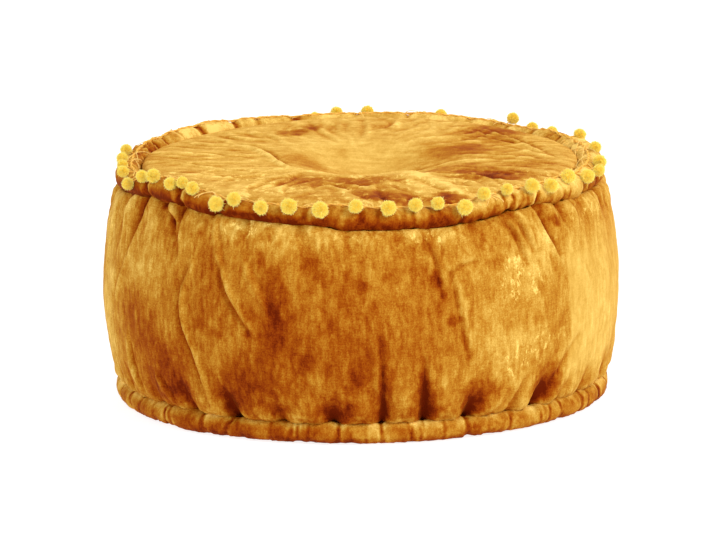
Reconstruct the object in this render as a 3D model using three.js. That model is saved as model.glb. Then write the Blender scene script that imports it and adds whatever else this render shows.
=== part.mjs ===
// A round velvet pouf: a filled body with a gathered side band, a domed top panel that dips
// in the middle, a padded roll round each seam, and a cord of yarn pompoms on the top roll.
// Millimetres, +Z up. The origin is on the floor under the middle of the pouf.
// Angles are measured in degrees from the front (-Y) towards the right (+X).

import * as THREE from "three";

// Driving dimensions
const bellyRadius = 276;
const bellyHeight = 124;
const gap = 0.3;
const clothThickness = 2;
const columns = 66;

const topRollRing = 246.5;
const topRollHeight = 241;
const topRollHalfWidth = 13.5;
const topRollHalfHeight = 13;
const topRollWander = 1.3;

const bottomRollRing = 250.5;
const bottomRollHalfWidth = 11.5;
const bottomRollHalfHeight = 11.3;

const rollSides = 8;
const halfSide = Math.PI / rollSides;

// The crown: how far it rises over its rim, how square its shoulder is, and its middle dip.
const crownRise = 17.5;
const crownSquareness = 20;
const dipDepth = 24;
const dipRadius = 104;
const dipCentre = { x: 12, y: -6 };
const crownLobe = 1.2;
const crownRings = [1, 0.975, 0.91, 0.76, 0.55, 0.37, 0.18, 0];

const cordRadius = 2.2;
const cordSides = 4;
const cordOutset = 1.8;

// The side band: how far it draws in towards its seams, gently and then sharply.
const bandDrawIn = 13;
const bandTurnIn = 5;
const bandTurnPower = 22;
const bandRings = [0.03, 0.09, 0.2, 0.35, 0.5, 0.65, 0.8, 0.91, 0.97];
const bandWander = 1.5;

// Gathers: soft troughs that start at a seam and die out towards the belly.
const gathers = [
  { seam: "bottom", angle: -75, depth: 5, width: 23, reach: 40 },
  { seam: "bottom", angle: -55, depth: 8.5, width: 20, reach: 60 },
  { seam: "bottom", angle: -30, depth: 7, width: 20, reach: 45 },
  { seam: "bottom", angle: -20, depth: 5, width: 20, reach: 40 },
  { seam: "bottom", angle: -5, depth: 7, width: 23, reach: 40 },
  { seam: "bottom", angle: 5, depth: 5, width: 20, reach: 50 },
  { seam: "bottom", angle: 15, depth: 5, width: 20, reach: 40 },
  { seam: "bottom", angle: 25, depth: 7, width: 20, reach: 50 },
  { seam: "bottom", angle: 35, depth: 7, width: 20, reach: 40 },
  { seam: "bottom", angle: 50, depth: 7, width: 20, reach: 45 },
  { seam: "top", angle: -75, depth: 8.5, width: 20, reach: 90 },
  { seam: "top", angle: -60, depth: 8.5, width: 20, reach: 80 },
  { seam: "top", angle: -50, depth: 7, width: 20, reach: 60 },
  { seam: "top", angle: -30, depth: 5, width: 23, reach: 60 },
  { seam: "top", angle: 0, depth: 5, width: 20, reach: 40 },
  { seam: "top", angle: 20, depth: 7, width: 20, reach: 60 },
  { seam: "top", angle: 35, depth: 7, width: 20, reach: 80 },
  { seam: "top", angle: 50, depth: 8.5, width: 20, reach: 80 },
  { seam: "top", angle: 75, depth: 7, width: 20, reach: 60 },
];

// Long creases in the side band, each a trough along a straight line on the band.
const longCreases = [
  { fromAngle: -40, fromHeight: 205, toAngle: -27, toHeight: 85, depth: 8.5, width: 20 },
  { fromAngle: -48, fromHeight: 62, toAngle: -42, toHeight: 22, depth: 8.5, width: 20 },
  { fromAngle: 15, fromHeight: 205, toAngle: 18, toHeight: 160, depth: 7, width: 20 },
  { fromAngle: 36, fromHeight: 215, toAngle: 42, toHeight: 150, depth: 8.5, width: 20 },
  { fromAngle: 48, fromHeight: 218, toAngle: 55, toHeight: 165, depth: 8.5, width: 20 },
];

// The top roll's path, read off the photo: how far it lies above its mean height at an angle, and
// the share of its height that shows there. Between two rows both change evenly.
const topRollPath = [
  { angle: -100, lift: 0, share: 1 },
  { angle: -78, lift: 2, share: 0.92 },
  { angle: -67, lift: 6, share: 0.85 },
  { angle: -60, lift: 11, share: 0.74 },
  { angle: -54, lift: 10.3, share: 0.88 },
  { angle: -47.5, lift: 9.5, share: 0.72 },
  { angle: -41, lift: 5, share: 0.72 },
  { angle: -30, lift: 4, share: 0.75 },
  { angle: -16, lift: 1, share: 0.82 },
  { angle: -6, lift: 0.5, share: 0.9 },
  { angle: 2.5, lift: -3.4, share: 0.92 },
  { angle: 11, lift: -5.8, share: 0.85 },
  { angle: 21, lift: -6.9, share: 0.85 },
  { angle: 27, lift: -4.2, share: 0.88 },
  { angle: 32.5, lift: -0.5, share: 0.98 },
  { angle: 39, lift: 3, share: 0.92 },
  { angle: 47, lift: 5, share: 0.8 },
  { angle: 55, lift: 2, share: 0.92 },
  { angle: 76, lift: 0.5, share: 1 },
  { angle: 90, lift: 0, share: 1 },
];

// Where each roll is pinched: the share of its thickness that it loses there.
const topRollPuckers = [
  { angle: -85, pinch: 0.22 },
  { angle: -61, pinch: 0.19 },
  { angle: -47, pinch: 0.16 },
  { angle: -34, pinch: 0.16 },
  { angle: -14, pinch: 0.1 },
  { angle: 12, pinch: 0.1 },
  { angle: 25, pinch: 0.16 },
  { angle: 38, pinch: 0.19 },
  { angle: 47, pinch: 0.22 },
  { angle: 67, pinch: 0.16 },
  { angle: 85, pinch: 0.19 },
];
const bottomRollPuckers = [
  { angle: -70, pinch: 0.26 },
  { angle: -55, pinch: 0.22 },
  { angle: -40, pinch: 0.26 },
  { angle: -20, pinch: 0.19 },
  { angle: -5, pinch: 0.16 },
  { angle: 10, pinch: 0.19 },
  { angle: 25, pinch: 0.22 },
  { angle: 35, pinch: 0.22 },
  { angle: 50, pinch: 0.26 },
  { angle: 60, pinch: 0.22 },
  { angle: 70, pinch: 0.26 },
];
const puckerWidth = 15;
const mostPinch = 0.32;
// The back repeats the front's uneven run of gathers and puckers, turned half round.
const backTurn = 180;

// How far in from its usual line the cord lies, where pompoms sit on the roll's top.
const cordInsets = [
  { angle: -115, inset: 0 },
  { angle: -100, inset: 5.4 },
  { angle: -78, inset: 4 },
  { angle: -66, inset: 0.5 },
  { angle: -56, inset: 2 },
  { angle: -50, inset: 5.4 },
  { angle: -42, inset: 4.4 },
  { angle: -34, inset: 0.5 },
  { angle: 6, inset: 0.5 },
  { angle: 12, inset: 4 },
  { angle: 32, inset: 4 },
  { angle: 42, inset: 1.5 },
  { angle: 78, inset: 0.5 },
  { angle: 90, inset: 5.4 },
  { angle: 116, inset: 5.4 },
  { angle: 124, inset: 0 },
  { angle: 135, inset: 3 },
  { angle: 144, inset: 3 },
  { angle: 152, inset: 0 },
];

// Each pompom's angle, its rise round the roll from the outside, and its radius. Those that the
// photo shows are placed after it, and the others sit low behind the roll.
const pompomPlaces = [
  [-99, 72, 6.3], [-90, 70, 6.3], [-81.5, 66, 6.3], [-75, 52, 6.3], [-67, 16, 6.8],
  [-62.5, 54, 6.8], [-57.5, 60, 8], [-50.3, 54, 7], [-47.6, 76, 6.6], [-43.2, 66, 7.7],
  [-34.5, 28, 8.4], [-30.5, 56, 8.2], [-23, 36, 7.9], [-16.5, 48, 8.6], [-9, 36, 8.9],
  [-1, 54, 7.6], [6.5, 52, 8.1], [13, 66, 7.8], [18.5, 68, 7.4], [24.5, 38, 8.4],
  [30.5, 66, 7.4], [37, 62, 7.1], [44, 52, 8.1], [50, 40, 7.6], [58, 56, 7.9],
  [66, 34, 7.9], [73.5, 32, 6.8], [78.5, 50, 7.4], [94, 72, 6.8], [112.5, 60, 7],
  [120, 8, 7.8], [128, 26, 6.8], [134.8, 26, 6.8], [139.3, 62, 6.9], [147, 8, 8],
  [153.5, 8, 7.8], [160.3, 30, 6.9], [167, 8, 8], [172.5, 8, 7.8], [178, 36, 6.9],
  [185.3, 36, 6.8], [190.5, 20, 6.8], [197, 8, 8], [203.7, 18, 7], [210, 8, 8],
  [216.5, 8, 7.8], [223, 8, 8],
];

// Pompoms that have slipped over the roll and lie on the side band: the angle, the radius, and how
// far the folds there carry each one out, or in below 0.
const slippedPompoms = [
  [229.1, 7.8, 0.4], [237, 8, -1.2], [245.5, 7.8, 0.2],
];

const radians = THREE.MathUtils.degToRad;

// The shortest turn from one angle to another, in degrees.
function turnBetween(a, b) {
  return THREE.MathUtils.euclideanModulo(a - b + 180, 360) - 180;
}

function bell(distance, width) {
  return Math.exp(-((distance / width) ** 2));
}

function placeAt(angle, radius, height) {
  const turn = radians(angle);
  return new THREE.Vector3(radius * Math.sin(turn), -radius * Math.cos(turn), height);
}

// A closed skin round the axis. At each column the profile gives its points as { radius, height }.
// An open profile runs from the axis below, outside, to the axis above. A closed one is a ring's
// section, which runs anticlockwise.
function roundSkin(profileAt, closed) {
  const positions = [];
  const faces = [];
  const profiles = [];
  for (let column = 0; column < columns; column += 1) {
    profiles.push(profileAt((column * 360) / columns));
  }
  const rows = profiles[0].length;
  const firstOfRow = [];
  for (let row = 0; row < rows; row += 1) {
    const onAxis = !closed && (row === 0 || row === rows - 1);
    firstOfRow.push({ start: positions.length / 3, onAxis });
    for (let column = 0; column < (onAxis ? 1 : columns); column += 1) {
      const { radius, height } = profiles[column][row];
      const point = placeAt((column * 360) / columns, onAxis ? 0 : radius, height);
      positions.push(point.x, point.y, point.z);
    }
  }
  const vertexAt = (row, column) => {
    const { start, onAxis } = firstOfRow[row % rows];
    return onAxis ? start : start + (column % columns);
  };
  for (let row = 0; row < (closed ? rows : rows - 1); row += 1) {
    // Both faces of a sheet are cut into triangles along the same lines.
    const narrows = profiles[0][row].radius >= profiles[0][(row + 1) % rows].radius;
    for (let column = 0; column < columns; column += 1) {
      const low = vertexAt(row, column);
      const lowNext = vertexAt(row, column + 1);
      const high = vertexAt(row + 1, column);
      const highNext = vertexAt(row + 1, column + 1);
      const halves = narrows
        ? [[low, lowNext, highNext], [low, highNext, high]]
        : [[low, lowNext, high], [lowNext, highNext, high]];
      for (const triangle of halves) {
        if (new Set(triangle).size === 3) {
          faces.push(...triangle);
        }
      }
    }
  }
  const geometry = new THREE.BufferGeometry();
  geometry.setAttribute("position", new THREE.Float32BufferAttribute(positions, 3));
  geometry.setIndex(faces);
  geometry.computeVertexNormals();
  return geometry;
}

// How much of its thickness a roll keeps at an angle.
function fullness(puckers, angle) {
  let lost = 0;
  for (const { angle: at, pinch } of puckers) {
    for (const turned of [0, backTurn]) {
      const across = radians(turnBetween(angle, at + turned)) * topRollRing;
      lost += pinch * bell(across, puckerWidth);
    }
  }
  return 1 - Math.min(lost, mostPinch);
}

// A point of a roll's eight-sided section. Grow moves its sides outwards.
function rollPoint(side, ring, height, halfWidth, halfHeight, grow) {
  const turn = halfSide * (2 * side + 1);
  const corner = 1 / Math.cos(halfSide);
  return {
    radius: ring + (halfWidth + grow) * corner * Math.cos(turn),
    height: height + (halfHeight + grow) * corner * Math.sin(turn),
  };
}

// The value of a table's column at an angle. Before the first row and after the last it is theirs.
function alongTable(table, column, angle) {
  const turned = turnBetween(angle, 0);
  const next = table.findIndex((row) => row.angle >= turned);
  if (next <= 0) {
    return next === 0 ? table[0][column] : table[table.length - 1][column];
  }
  const before = table[next - 1];
  const after = table[next];
  const share = (turned - before.angle) / (after.angle - before.angle);
  return THREE.MathUtils.lerp(before[column], after[column], share);
}

// The top roll wanders up and down, and the cloth on each side of it follows.
function topRollMiddle(angle) {
  const wander = Math.sin(radians(angle * 2 + 20)) + 0.6 * Math.sin(radians(angle * 5));
  return topRollHeight + topRollWander * wander + alongTable(topRollPath, "lift", angle);
}

function topRollThickness(angle) {
  return topRollHalfHeight * alongTable(topRollPath, "share", angle);
}

function topRollPoint(angle, side, grow, full = 1) {
  const halfWidth = topRollHalfWidth * full;
  const halfHeight = topRollThickness(angle) * full;
  return rollPoint(side, topRollRing, topRollMiddle(angle), halfWidth, halfHeight, grow);
}

// The bottom roll is pinched towards the floor, where it stays flat.
function bottomRollPoint(angle, side, grow, full = 1) {
  const halfWidth = bottomRollHalfWidth * full;
  const halfHeight = bottomRollHalfHeight * full;
  return rollPoint(side, bottomRollRing, halfHeight, halfWidth, halfHeight, grow);
}

function rollSection(pointOf, puckers, angle) {
  const section = [];
  for (let side = 0; side < rollSides; side += 1) {
    section.push(pointOf(angle, side, 0, fullness(puckers, angle)));
  }
  return section;
}

// How deep the gathers and creases are at a place on the side band.
function bandTrough(angle, height, bottomSeam, topSeam) {
  const wander = bandWander * (Math.sin(radians(angle * 3 + 40)) + Math.sin(radians(angle * 7)));
  let depth = wander * Math.sin((Math.PI * (height - bottomSeam)) / (topSeam - bottomSeam));
  for (const { seam, angle: at, depth: deep, width, reach } of gathers) {
    const fromSeam = seam === "top" ? topSeam - height : height - bottomSeam;
    const fade = Math.sin(Math.PI * Math.min(1, (fromSeam + reach * 0.2) / (reach * 1.2)));
    for (const turned of [0, backTurn]) {
      const across = radians(turnBetween(angle, at + turned)) * bellyRadius;
      depth += deep * fade * bell(across, width);
    }
  }
  for (const { fromAngle, fromHeight, toAngle, toHeight, depth: deep, width } of longCreases) {
    const along = THREE.MathUtils.clamp((fromHeight - height) / (fromHeight - toHeight), 0, 1);
    const onLine = THREE.MathUtils.lerp(fromHeight, toHeight, along);
    const past = bell(height - onLine, width);
    const across = radians(turnBetween(angle, THREE.MathUtils.lerp(fromAngle, toAngle, along)));
    depth += deep * past * bell(across * bellyRadius, width);
  }
  return depth;
}

function bandPoint(angle, share) {
  const bottomSeam = bottomRollPoint(angle, 0, gap);
  const topSeam = topRollPoint(angle, rollSides - 1, gap);
  const height = THREE.MathUtils.lerp(bottomSeam.height, topSeam.height, share);
  const seam = share < 0.5 ? bottomSeam : topSeam;
  const off = (height - bellyHeight) / (seam.height - bellyHeight);
  const drawIn = bellyRadius - seam.radius - bandTurnIn;
  const lift = bandDrawIn * off ** 2 + (drawIn - bandDrawIn) * off ** 6;
  const turnIn = bandTurnIn * off ** bandTurnPower;
  const trough = bandTrough(angle, height, bottomSeam.height, topSeam.height);
  return { radius: bellyRadius - lift - turnIn - trough, height };
}

// The crown's own surface, and the same surface moved out along its slope by an offset.
const crownRadius = topRollRing - topRollHalfWidth - 2 * gap - clothThickness;

function crownFoot(angle) {
  return topRollPoint(angle, 4, gap).height;
}

function crownHeight(angle, share) {
  const shoulder = crownRise * Math.sqrt(1 - share ** crownSquareness);
  const place = placeAt(angle, share * crownRadius, 0);
  const fromDip = Math.hypot(place.x - dipCentre.x, place.y - dipCentre.y) / dipRadius;
  const dip = (dipDepth * (1 + Math.cos(Math.PI * Math.min(1, fromDip)))) / 2;
  const lobes = crownLobe * share * (1 - share) * 4 * Math.sin(radians(angle * 5 + 30));
  const lift = share === 0 ? 0 : Math.max(0, alongTable(topRollPath, "lift", angle));
  const foot = topRollHeight - topRollHalfHeight * Math.tan(halfSide);
  return foot + 0.6 * lift * share ** 6 + shoulder - dip + lobes;
}

function crownPoint(angle, share, offset) {
  if (share === 0) {
    return { radius: 0, height: crownHeight(angle, 0) + offset };
  }
  const radius = share * crownRadius;
  if (share === 1) {
    return { radius: radius + offset, height: crownFoot(angle) + Math.min(offset, gap) };
  }
  const step = 0.002;
  const rise = crownHeight(angle, share - step) - crownHeight(angle, share + step);
  const slope = Math.atan2(rise, 2 * step * crownRadius);
  return {
    radius: radius + offset * Math.sin(slope),
    height: crownHeight(angle, share) + offset * Math.cos(slope),
  };
}

// The filled body, from the axis under it, round the bottom roll, up the side band, under
// the top roll and over the crown.
function bodyProfile(angle) {
  const profile = [];
  const underside = clothThickness + gap;
  profile.push({ radius: 0, height: underside });
  profile.push({ radius: bottomRollPoint(angle, 3, gap).radius, height: underside });
  for (const side of [3, 2, 1, 0]) {
    profile.push(bottomRollPoint(angle, side, gap));
  }
  for (const share of bandRings) {
    profile.push(bandPoint(angle, share));
  }
  for (const side of [7, 6, 5, 4]) {
    profile.push(topRollPoint(angle, side, gap));
  }
  for (const share of crownRings) {
    profile.push(crownPoint(angle, share, 0));
  }
  return profile;
}

// The top panel: one sheet over the crown, its edge tucked down beside the roll.
function topPanelProfile(angle) {
  const under = crownRings.map((share) => crownPoint(angle, share, gap));
  const over = crownRings.map((share) => crownPoint(angle, share, gap + clothThickness));
  for (const points of [under, over]) {
    points[0].height += gap;
  }
  return [...under.reverse(), ...over];
}

// A point of the top roll's eight-sided skin, whose side faces the rise. Between two columns the
// skin is straight.
function skinPoint(angle, rise) {
  const height = topRollThickness(angle);
  const turn = Math.atan2(height * Math.sin(radians(rise)), topRollHalfWidth * Math.cos(radians(rise)));
  const fromSide = THREE.MathUtils.euclideanModulo(turn + halfSide, 2 * halfSide) - halfSide;
  const column = Math.floor((angle * columns) / 360);
  const ends = [column, column + 1].map((at) => {
    const columnAngle = (at * 360) / columns;
    const reach = fullness(topRollPuckers, columnAngle) / Math.cos(fromSide);
    return {
      radius: topRollRing + topRollHalfWidth * reach * Math.cos(turn),
      height: topRollMiddle(columnAngle) + topRollThickness(columnAngle) * reach * Math.sin(turn),
    };
  });
  const share = (angle * columns) / 360 - column;
  return {
    radius: THREE.MathUtils.lerp(ends[0].radius, ends[1].radius, share),
    height: THREE.MathUtils.lerp(ends[0].height, ends[1].height, share),
  };
}

// The middle of a ball that rests on the roll, which may stand higher beside the ball than under it.
function seatedBall(angle, rise, radius) {
  const out = { radius: Math.cos(radians(rise)), height: Math.sin(radians(rise)) };
  const under = skinPoint(angle, rise);
  let higher = 0;
  for (const aside of [-0.8, -0.4, 0.4, 0.8]) {
    const drop = radius * (1 - Math.sqrt(1 - aside ** 2));
    const turn = THREE.MathUtils.radToDeg((aside * radius) / topRollRing);
    const beside = skinPoint(angle + turn, rise);
    const over = (beside.radius - under.radius) * out.radius + (beside.height - under.height) * out.height;
    higher = Math.max(higher, over - drop);
  }
  const reach = gap + radius + higher;
  return placeAt(angle, under.radius + out.radius * reach, under.height + out.height * reach);
}

// The middle of a ball that lies on the side band's highest slope, just under the roll.
function slippedBall(angle, radius, carried) {
  const [low, high] = bandRings.slice(-2).map((share) => bandPoint(angle, share));
  const slope = Math.atan2(low.radius - high.radius, high.height - low.height);
  const reach = gap + radius + carried;
  const middle = (low.radius + high.radius) / 2 + Math.cos(slope) * reach;
  return placeAt(angle, middle, (low.height + high.height) / 2 + Math.sin(slope) * reach);
}

// The cord lies on the roll's flat top, with its own flat downwards.
function cordSection(angle) {
  const ring = topRollRing + cordOutset - alongTable(cordInsets, "inset", angle);
  const flat = cordRadius * Math.cos(Math.PI / cordSides);
  const top = topRollMiddle(angle) + topRollThickness(angle) * fullness(topRollPuckers, angle);
  const section = [];
  for (let side = 0; side < cordSides; side += 1) {
    const turn = (Math.PI * (2 * side + 1)) / cordSides;
    section.push({
      radius: ring + cordRadius * Math.cos(turn),
      height: top + gap + flat + cordRadius * Math.sin(turn),
    });
  }
  return section;
}

// The bottom panel is a flat round. Its upper edge meets the bottom roll's inner side.
function bottomPanelGeometry() {
  const inner = bottomRollPoint(0, 4, 0);
  const under = bottomRollPoint(0, 5, 0);
  const meeting = THREE.MathUtils.lerp(under.radius, inner.radius, clothThickness / inner.height);
  const radius = meeting - gap * Math.SQRT2;
  const geometry = new THREE.CylinderGeometry(radius, radius, clothThickness, columns);
  geometry.rotateX(Math.PI / 2);
  return geometry.translate(0, 0, clothThickness / 2);
}

// A pompom touches what it lies on with one pole of its ball.
function addPompoms(group, material) {
  const up = new THREE.Vector3(0, 1, 0);
  const places = pompomPlaces.map(([angle, rise, radius]) => ({
    middle: seatedBall(angle, rise, radius),
    away: placeAt(angle, Math.cos(radians(rise)), Math.sin(radians(rise))),
    radius,
  }));
  for (const [angle, radius, carried] of slippedPompoms) {
    places.push({ middle: slippedBall(angle, radius, carried), away: placeAt(angle, 1, 0), radius });
  }
  places.forEach(({ middle, away, radius }, index) => {
    const pompom = new THREE.Mesh(new THREE.SphereGeometry(radius, 6, 4), material);
    pompom.name = `pompom_${String(index + 1).padStart(2, "0")}`;
    pompom.position.copy(middle);
    pompom.quaternion.setFromUnitVectors(up, away);
    group.add(pompom);
  });
}

function piece(name, geometry, material) {
  const mesh = new THREE.Mesh(geometry, material);
  mesh.name = name;
  return mesh;
}

const velvet = new THREE.MeshStandardMaterial({ color: 0xcb8732, roughness: 0.85, metalness: 0 });
const panelVelvet = new THREE.MeshStandardMaterial({ color: 0xd9993f, roughness: 0.85, metalness: 0 });
const rollVelvet = new THREE.MeshStandardMaterial({ color: 0xb8742a, roughness: 0.85, metalness: 0 });
const yarn = new THREE.MeshStandardMaterial({ color: 0xfad15a, roughness: 0.95, metalness: 0 });
const cordYarn = new THREE.MeshStandardMaterial({ color: 0xe6b25a, roughness: 0.9, metalness: 0 });

const cushion = new THREE.Group();
cushion.add(piece("side_band", roundSkin(bodyProfile, false), velvet));
cushion.add(piece("top_panel", roundSkin(topPanelProfile, false), panelVelvet));
cushion.add(piece("bottom_panel", bottomPanelGeometry(), velvet));

const rolls = new THREE.Group();
const topRoll = roundSkin((angle) => rollSection(topRollPoint, topRollPuckers, angle), true);
const bottomRoll = roundSkin((angle) => rollSection(bottomRollPoint, bottomRollPuckers, angle), true);
rolls.add(piece("top_roll", topRoll, rollVelvet));
rolls.add(piece("bottom_roll", bottomRoll, rollVelvet));

const trim = new THREE.Group();
trim.add(piece("pompom_cord", roundSkin(cordSection, true), cordYarn));
addPompoms(trim, yarn);

const pouf = new THREE.Group();
pouf.add(cushion, rolls, trim);

export default pouf;
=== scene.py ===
import math
import random

import bpy
import numpy as np
from mathutils import Matrix, Vector, noise
from mathutils.bvhtree import BVHTree


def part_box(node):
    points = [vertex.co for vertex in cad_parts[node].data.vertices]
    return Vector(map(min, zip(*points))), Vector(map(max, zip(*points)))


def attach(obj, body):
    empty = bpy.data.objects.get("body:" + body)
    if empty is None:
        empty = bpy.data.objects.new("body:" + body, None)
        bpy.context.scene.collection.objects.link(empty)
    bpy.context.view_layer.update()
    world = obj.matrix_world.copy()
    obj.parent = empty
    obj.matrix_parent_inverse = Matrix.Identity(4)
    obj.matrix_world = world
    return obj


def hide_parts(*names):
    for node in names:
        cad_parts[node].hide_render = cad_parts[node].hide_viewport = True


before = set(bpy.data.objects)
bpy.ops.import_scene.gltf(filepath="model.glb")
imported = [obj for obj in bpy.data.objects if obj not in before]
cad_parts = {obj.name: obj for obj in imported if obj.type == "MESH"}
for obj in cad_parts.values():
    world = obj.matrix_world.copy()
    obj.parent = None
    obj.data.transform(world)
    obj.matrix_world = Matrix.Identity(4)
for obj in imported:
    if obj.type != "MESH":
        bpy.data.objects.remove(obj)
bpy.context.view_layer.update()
mm = 0.001


# Helpers

def deselectAll():
    if bpy.context.mode != "OBJECT":
        bpy.ops.object.mode_set(mode="OBJECT")
    bpy.ops.object.select_all(action="DESELECT")


def makeActive(piece):
    deselectAll()
    piece.select_set(True)
    bpy.context.view_layer.objects.active = piece


def takePrimitive(name):
    piece = bpy.context.view_layer.objects.active
    piece.name = name
    piece.data.name = name
    return piece


def addTorus(name, segments, sides, ring, radius, tilt=0):
    deselectAll()
    bpy.ops.mesh.primitive_torus_add(
        major_segments=segments, minor_segments=sides, major_radius=ring * mm, minor_radius=radius * mm,
        rotation=(math.radians(tilt), 0, 0))
    return takePrimitive(name)


def readPoints(piece):
    points = np.empty(len(piece.data.vertices) * 3, np.float32)
    piece.data.vertices.foreach_get("co", points)
    return points.reshape(-1, 3).astype(float) / mm


def writePoints(piece, points):
    piece.data.vertices.foreach_set("co", (points * mm).astype(np.float32).ravel())
    piece.data.update()


def placeAt(angle, radius, height):
    turn = np.radians(angle)
    return np.stack([radius * np.sin(turn), -radius * np.cos(turn), height + 0 * turn], axis=-1)


def spotAt(angle, radius, height):
    # one place, in metres
    return Vector(placeAt(np.array([float(angle)]), radius, height)[0] * mm)


def angleOf(points):
    return np.degrees(np.arctan2(points[..., 0], -points[..., 1]))


def turnBetween(a, b):
    return (np.asarray(a) - b + 180) % 360 - 180


def arcFrom(middle, angle, radius):
    # how far round a circle a point lies from an angle, in millimetres
    return np.radians(turnBetween(angle, middle)) * radius


def bell(distance, width):
    return np.exp(-(distance / width) ** 2)


def ramp(value, start, length):
    # 0 up to the start, 1 from the start plus the length
    return np.clip((value - start) / length, 0, 1)


def anyWay(chance):
    return [chance.uniform(-1, 1) for _ in range(3)]


def addModifier(piece, kind, **settings):
    modifier = piece.modifiers.new(kind.title(), kind)
    for name, value in settings.items():
        setattr(modifier, name, value)
    return modifier


def applyModifiers(piece):
    makeActive(piece)
    for modifier in list(piece.modifiers):
        bpy.ops.object.modifier_apply(modifier=modifier.name)


def subdivideOnce(piece):
    # the limit surface is left out, because a pole with hundreds of edges makes it very slow
    addModifier(piece, "SUBSURF", levels=1, render_levels=1, use_limit_surface=False)
    applyModifiers(piece)


def setAttribute(piece, name, values):
    # values is one number for each point, or one for them all
    attribute = piece.data.attributes.get(name) or piece.data.attributes.new(name, "FLOAT", "POINT")
    attribute.data.foreach_set("value", np.full(len(piece.data.vertices), values, np.float32))


def wobble(points, size, seed):
    # smooth noise, one value for each point, with features about size millimetres wide
    return np.array([noise.noise(Vector(p / size) + Vector((seed, 0, 0))) for p in points])


def crinkle(points, size, seed):
    # the same noise folded over, so that it falls to sharp valleys as crushed cloth does
    return 2.2 * np.abs(wobble(points, size, seed)) - 0.45


def clothSettings(piece, look, pinned):
    group = piece.vertex_groups.new(name="pinned")
    group.add([int(i) for i in np.flatnonzero(pinned)], 1.0, "REPLACE")
    cloth = addModifier(piece, "CLOTH").settings
    cloth.quality = look["quality"]
    cloth.mass = look["mass"]
    cloth.air_damping = look["airDamping"]
    cloth.tension_stiffness = look["tension"]
    cloth.compression_stiffness = look["compression"]
    cloth.shear_stiffness = look["shear"]
    cloth.bending_stiffness = look["bending"]
    cloth.vertex_group_mass = group.name
    cloth.use_pressure = True
    cloth.uniform_pressure_force = look["pressure"]
    cloth.effector_weights.gravity = 0
    return cloth


def settleCloth(piece, look, pinned, cutPoints):
    # lets the filling press the cloth out; cutPoints are the places of its points before it was sewn,
    # so that cloth that was cut wider than its seam gathers there
    before = readPoints(piece)
    cloth = clothSettings(piece, look, pinned)
    piece.shape_key_add(name="sewn")
    cut = piece.shape_key_add(name="cut")
    cut.data.foreach_set("co", (cutPoints * mm).astype(np.float32).ravel())
    cloth.rest_shape_key = cut
    scene = bpy.context.scene
    for number in range(1, look["frames"] + 1):
        scene.frame_set(number)
    settled = piece.evaluated_get(bpy.context.evaluated_depsgraph_get())
    after = np.empty(len(before) * 3, np.float32)
    settled.data.vertices.foreach_get("co", after)
    moved = after.reshape(-1, 3) / mm - before
    far = np.linalg.norm(moved, axis=1, keepdims=True)
    moved *= np.minimum(1, look["cap"] / np.maximum(far, 1e-6))
    piece.modifiers.clear()
    piece.shape_key_clear()
    piece.vertex_groups.clear()
    scene.frame_set(1)
    writePoints(piece, before + moved)
    print(piece.name, "settled, moved up to", round(float(far.max()), 1), "mm")


# Materials

def hexColour(code):
    channels = [int(code[i:i + 2], 16) / 255 for i in (1, 3, 5)]
    return [c / 12.92 if c <= 0.04045 else ((c + 0.055) / 1.055) ** 2.4 for c in channels] + [1.0]


def addNode(tree, kind, inputs=None, **settings):
    # an input is a plain value or the output of another node
    node = tree.nodes.new(kind)
    for name, value in settings.items():
        setattr(node, name, value)
    for socket, value in (inputs or {}).items():
        if isinstance(value, bpy.types.NodeSocket):
            tree.links.new(value, node.inputs[socket])
        else:
            node.inputs[socket].default_value = value
    return node


def newMaterial(name, finish):
    material = bpy.data.materials.new(name)
    material.use_nodes = True
    tree = material.node_tree
    tree.nodes.clear()
    shader = addNode(tree, "ShaderNodeBsdfPrincipled", finish)
    addNode(tree, "ShaderNodeOutputMaterial", {"Surface": shader.outputs["BSDF"]})
    return material, tree, shader


def drawPattern(tree, size, stretch, detail, roughness, distortion=0.0):
    # size is the width of a feature in millimetres, stretch draws it out along each axis
    place = addNode(tree, "ShaderNodeTexCoord").outputs["Object"]
    scale = [1 / (size * mm * s) for s in stretch]
    mapped = addNode(tree, "ShaderNodeMapping", {"Vector": place, "Scale": scale}).outputs["Vector"]
    return addNode(tree, "ShaderNodeTexNoise", {
        "Vector": mapped, "Scale": 1.0, "Detail": detail, "Roughness": roughness, "Distortion": distortion,
    }).outputs["Fac"]


def blendIn(tree, total, part, share, **settings):
    # the total plus a share of a part
    terms = {0: part, 1: share, 2: total}
    return addNode(tree, "ShaderNodeMath", terms, operation="MULTIPLY_ADD", **settings).outputs[0]


def colourBy(tree, shader, tone, stops):
    colours = addNode(tree, "ShaderNodeValToRGB", {"Fac": tone})
    elements = colours.color_ramp.elements
    elements.remove(elements[-1])
    elements[0].position = stops[0][0]
    elements[0].color = hexColour(stops[0][1])
    for position, code in stops[1:]:
        elements.new(position).color = hexColour(code)
    tree.links.new(colours.outputs["Color"], shader.inputs["Base Color"])


def roughenBy(tree, shader, relief, strength, height):
    bump = addNode(tree, "ShaderNodeBump", {"Height": relief, "Strength": strength, "Distance": height * mm})
    tree.links.new(bump.outputs["Normal"], shader.inputs["Normal"])


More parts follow.
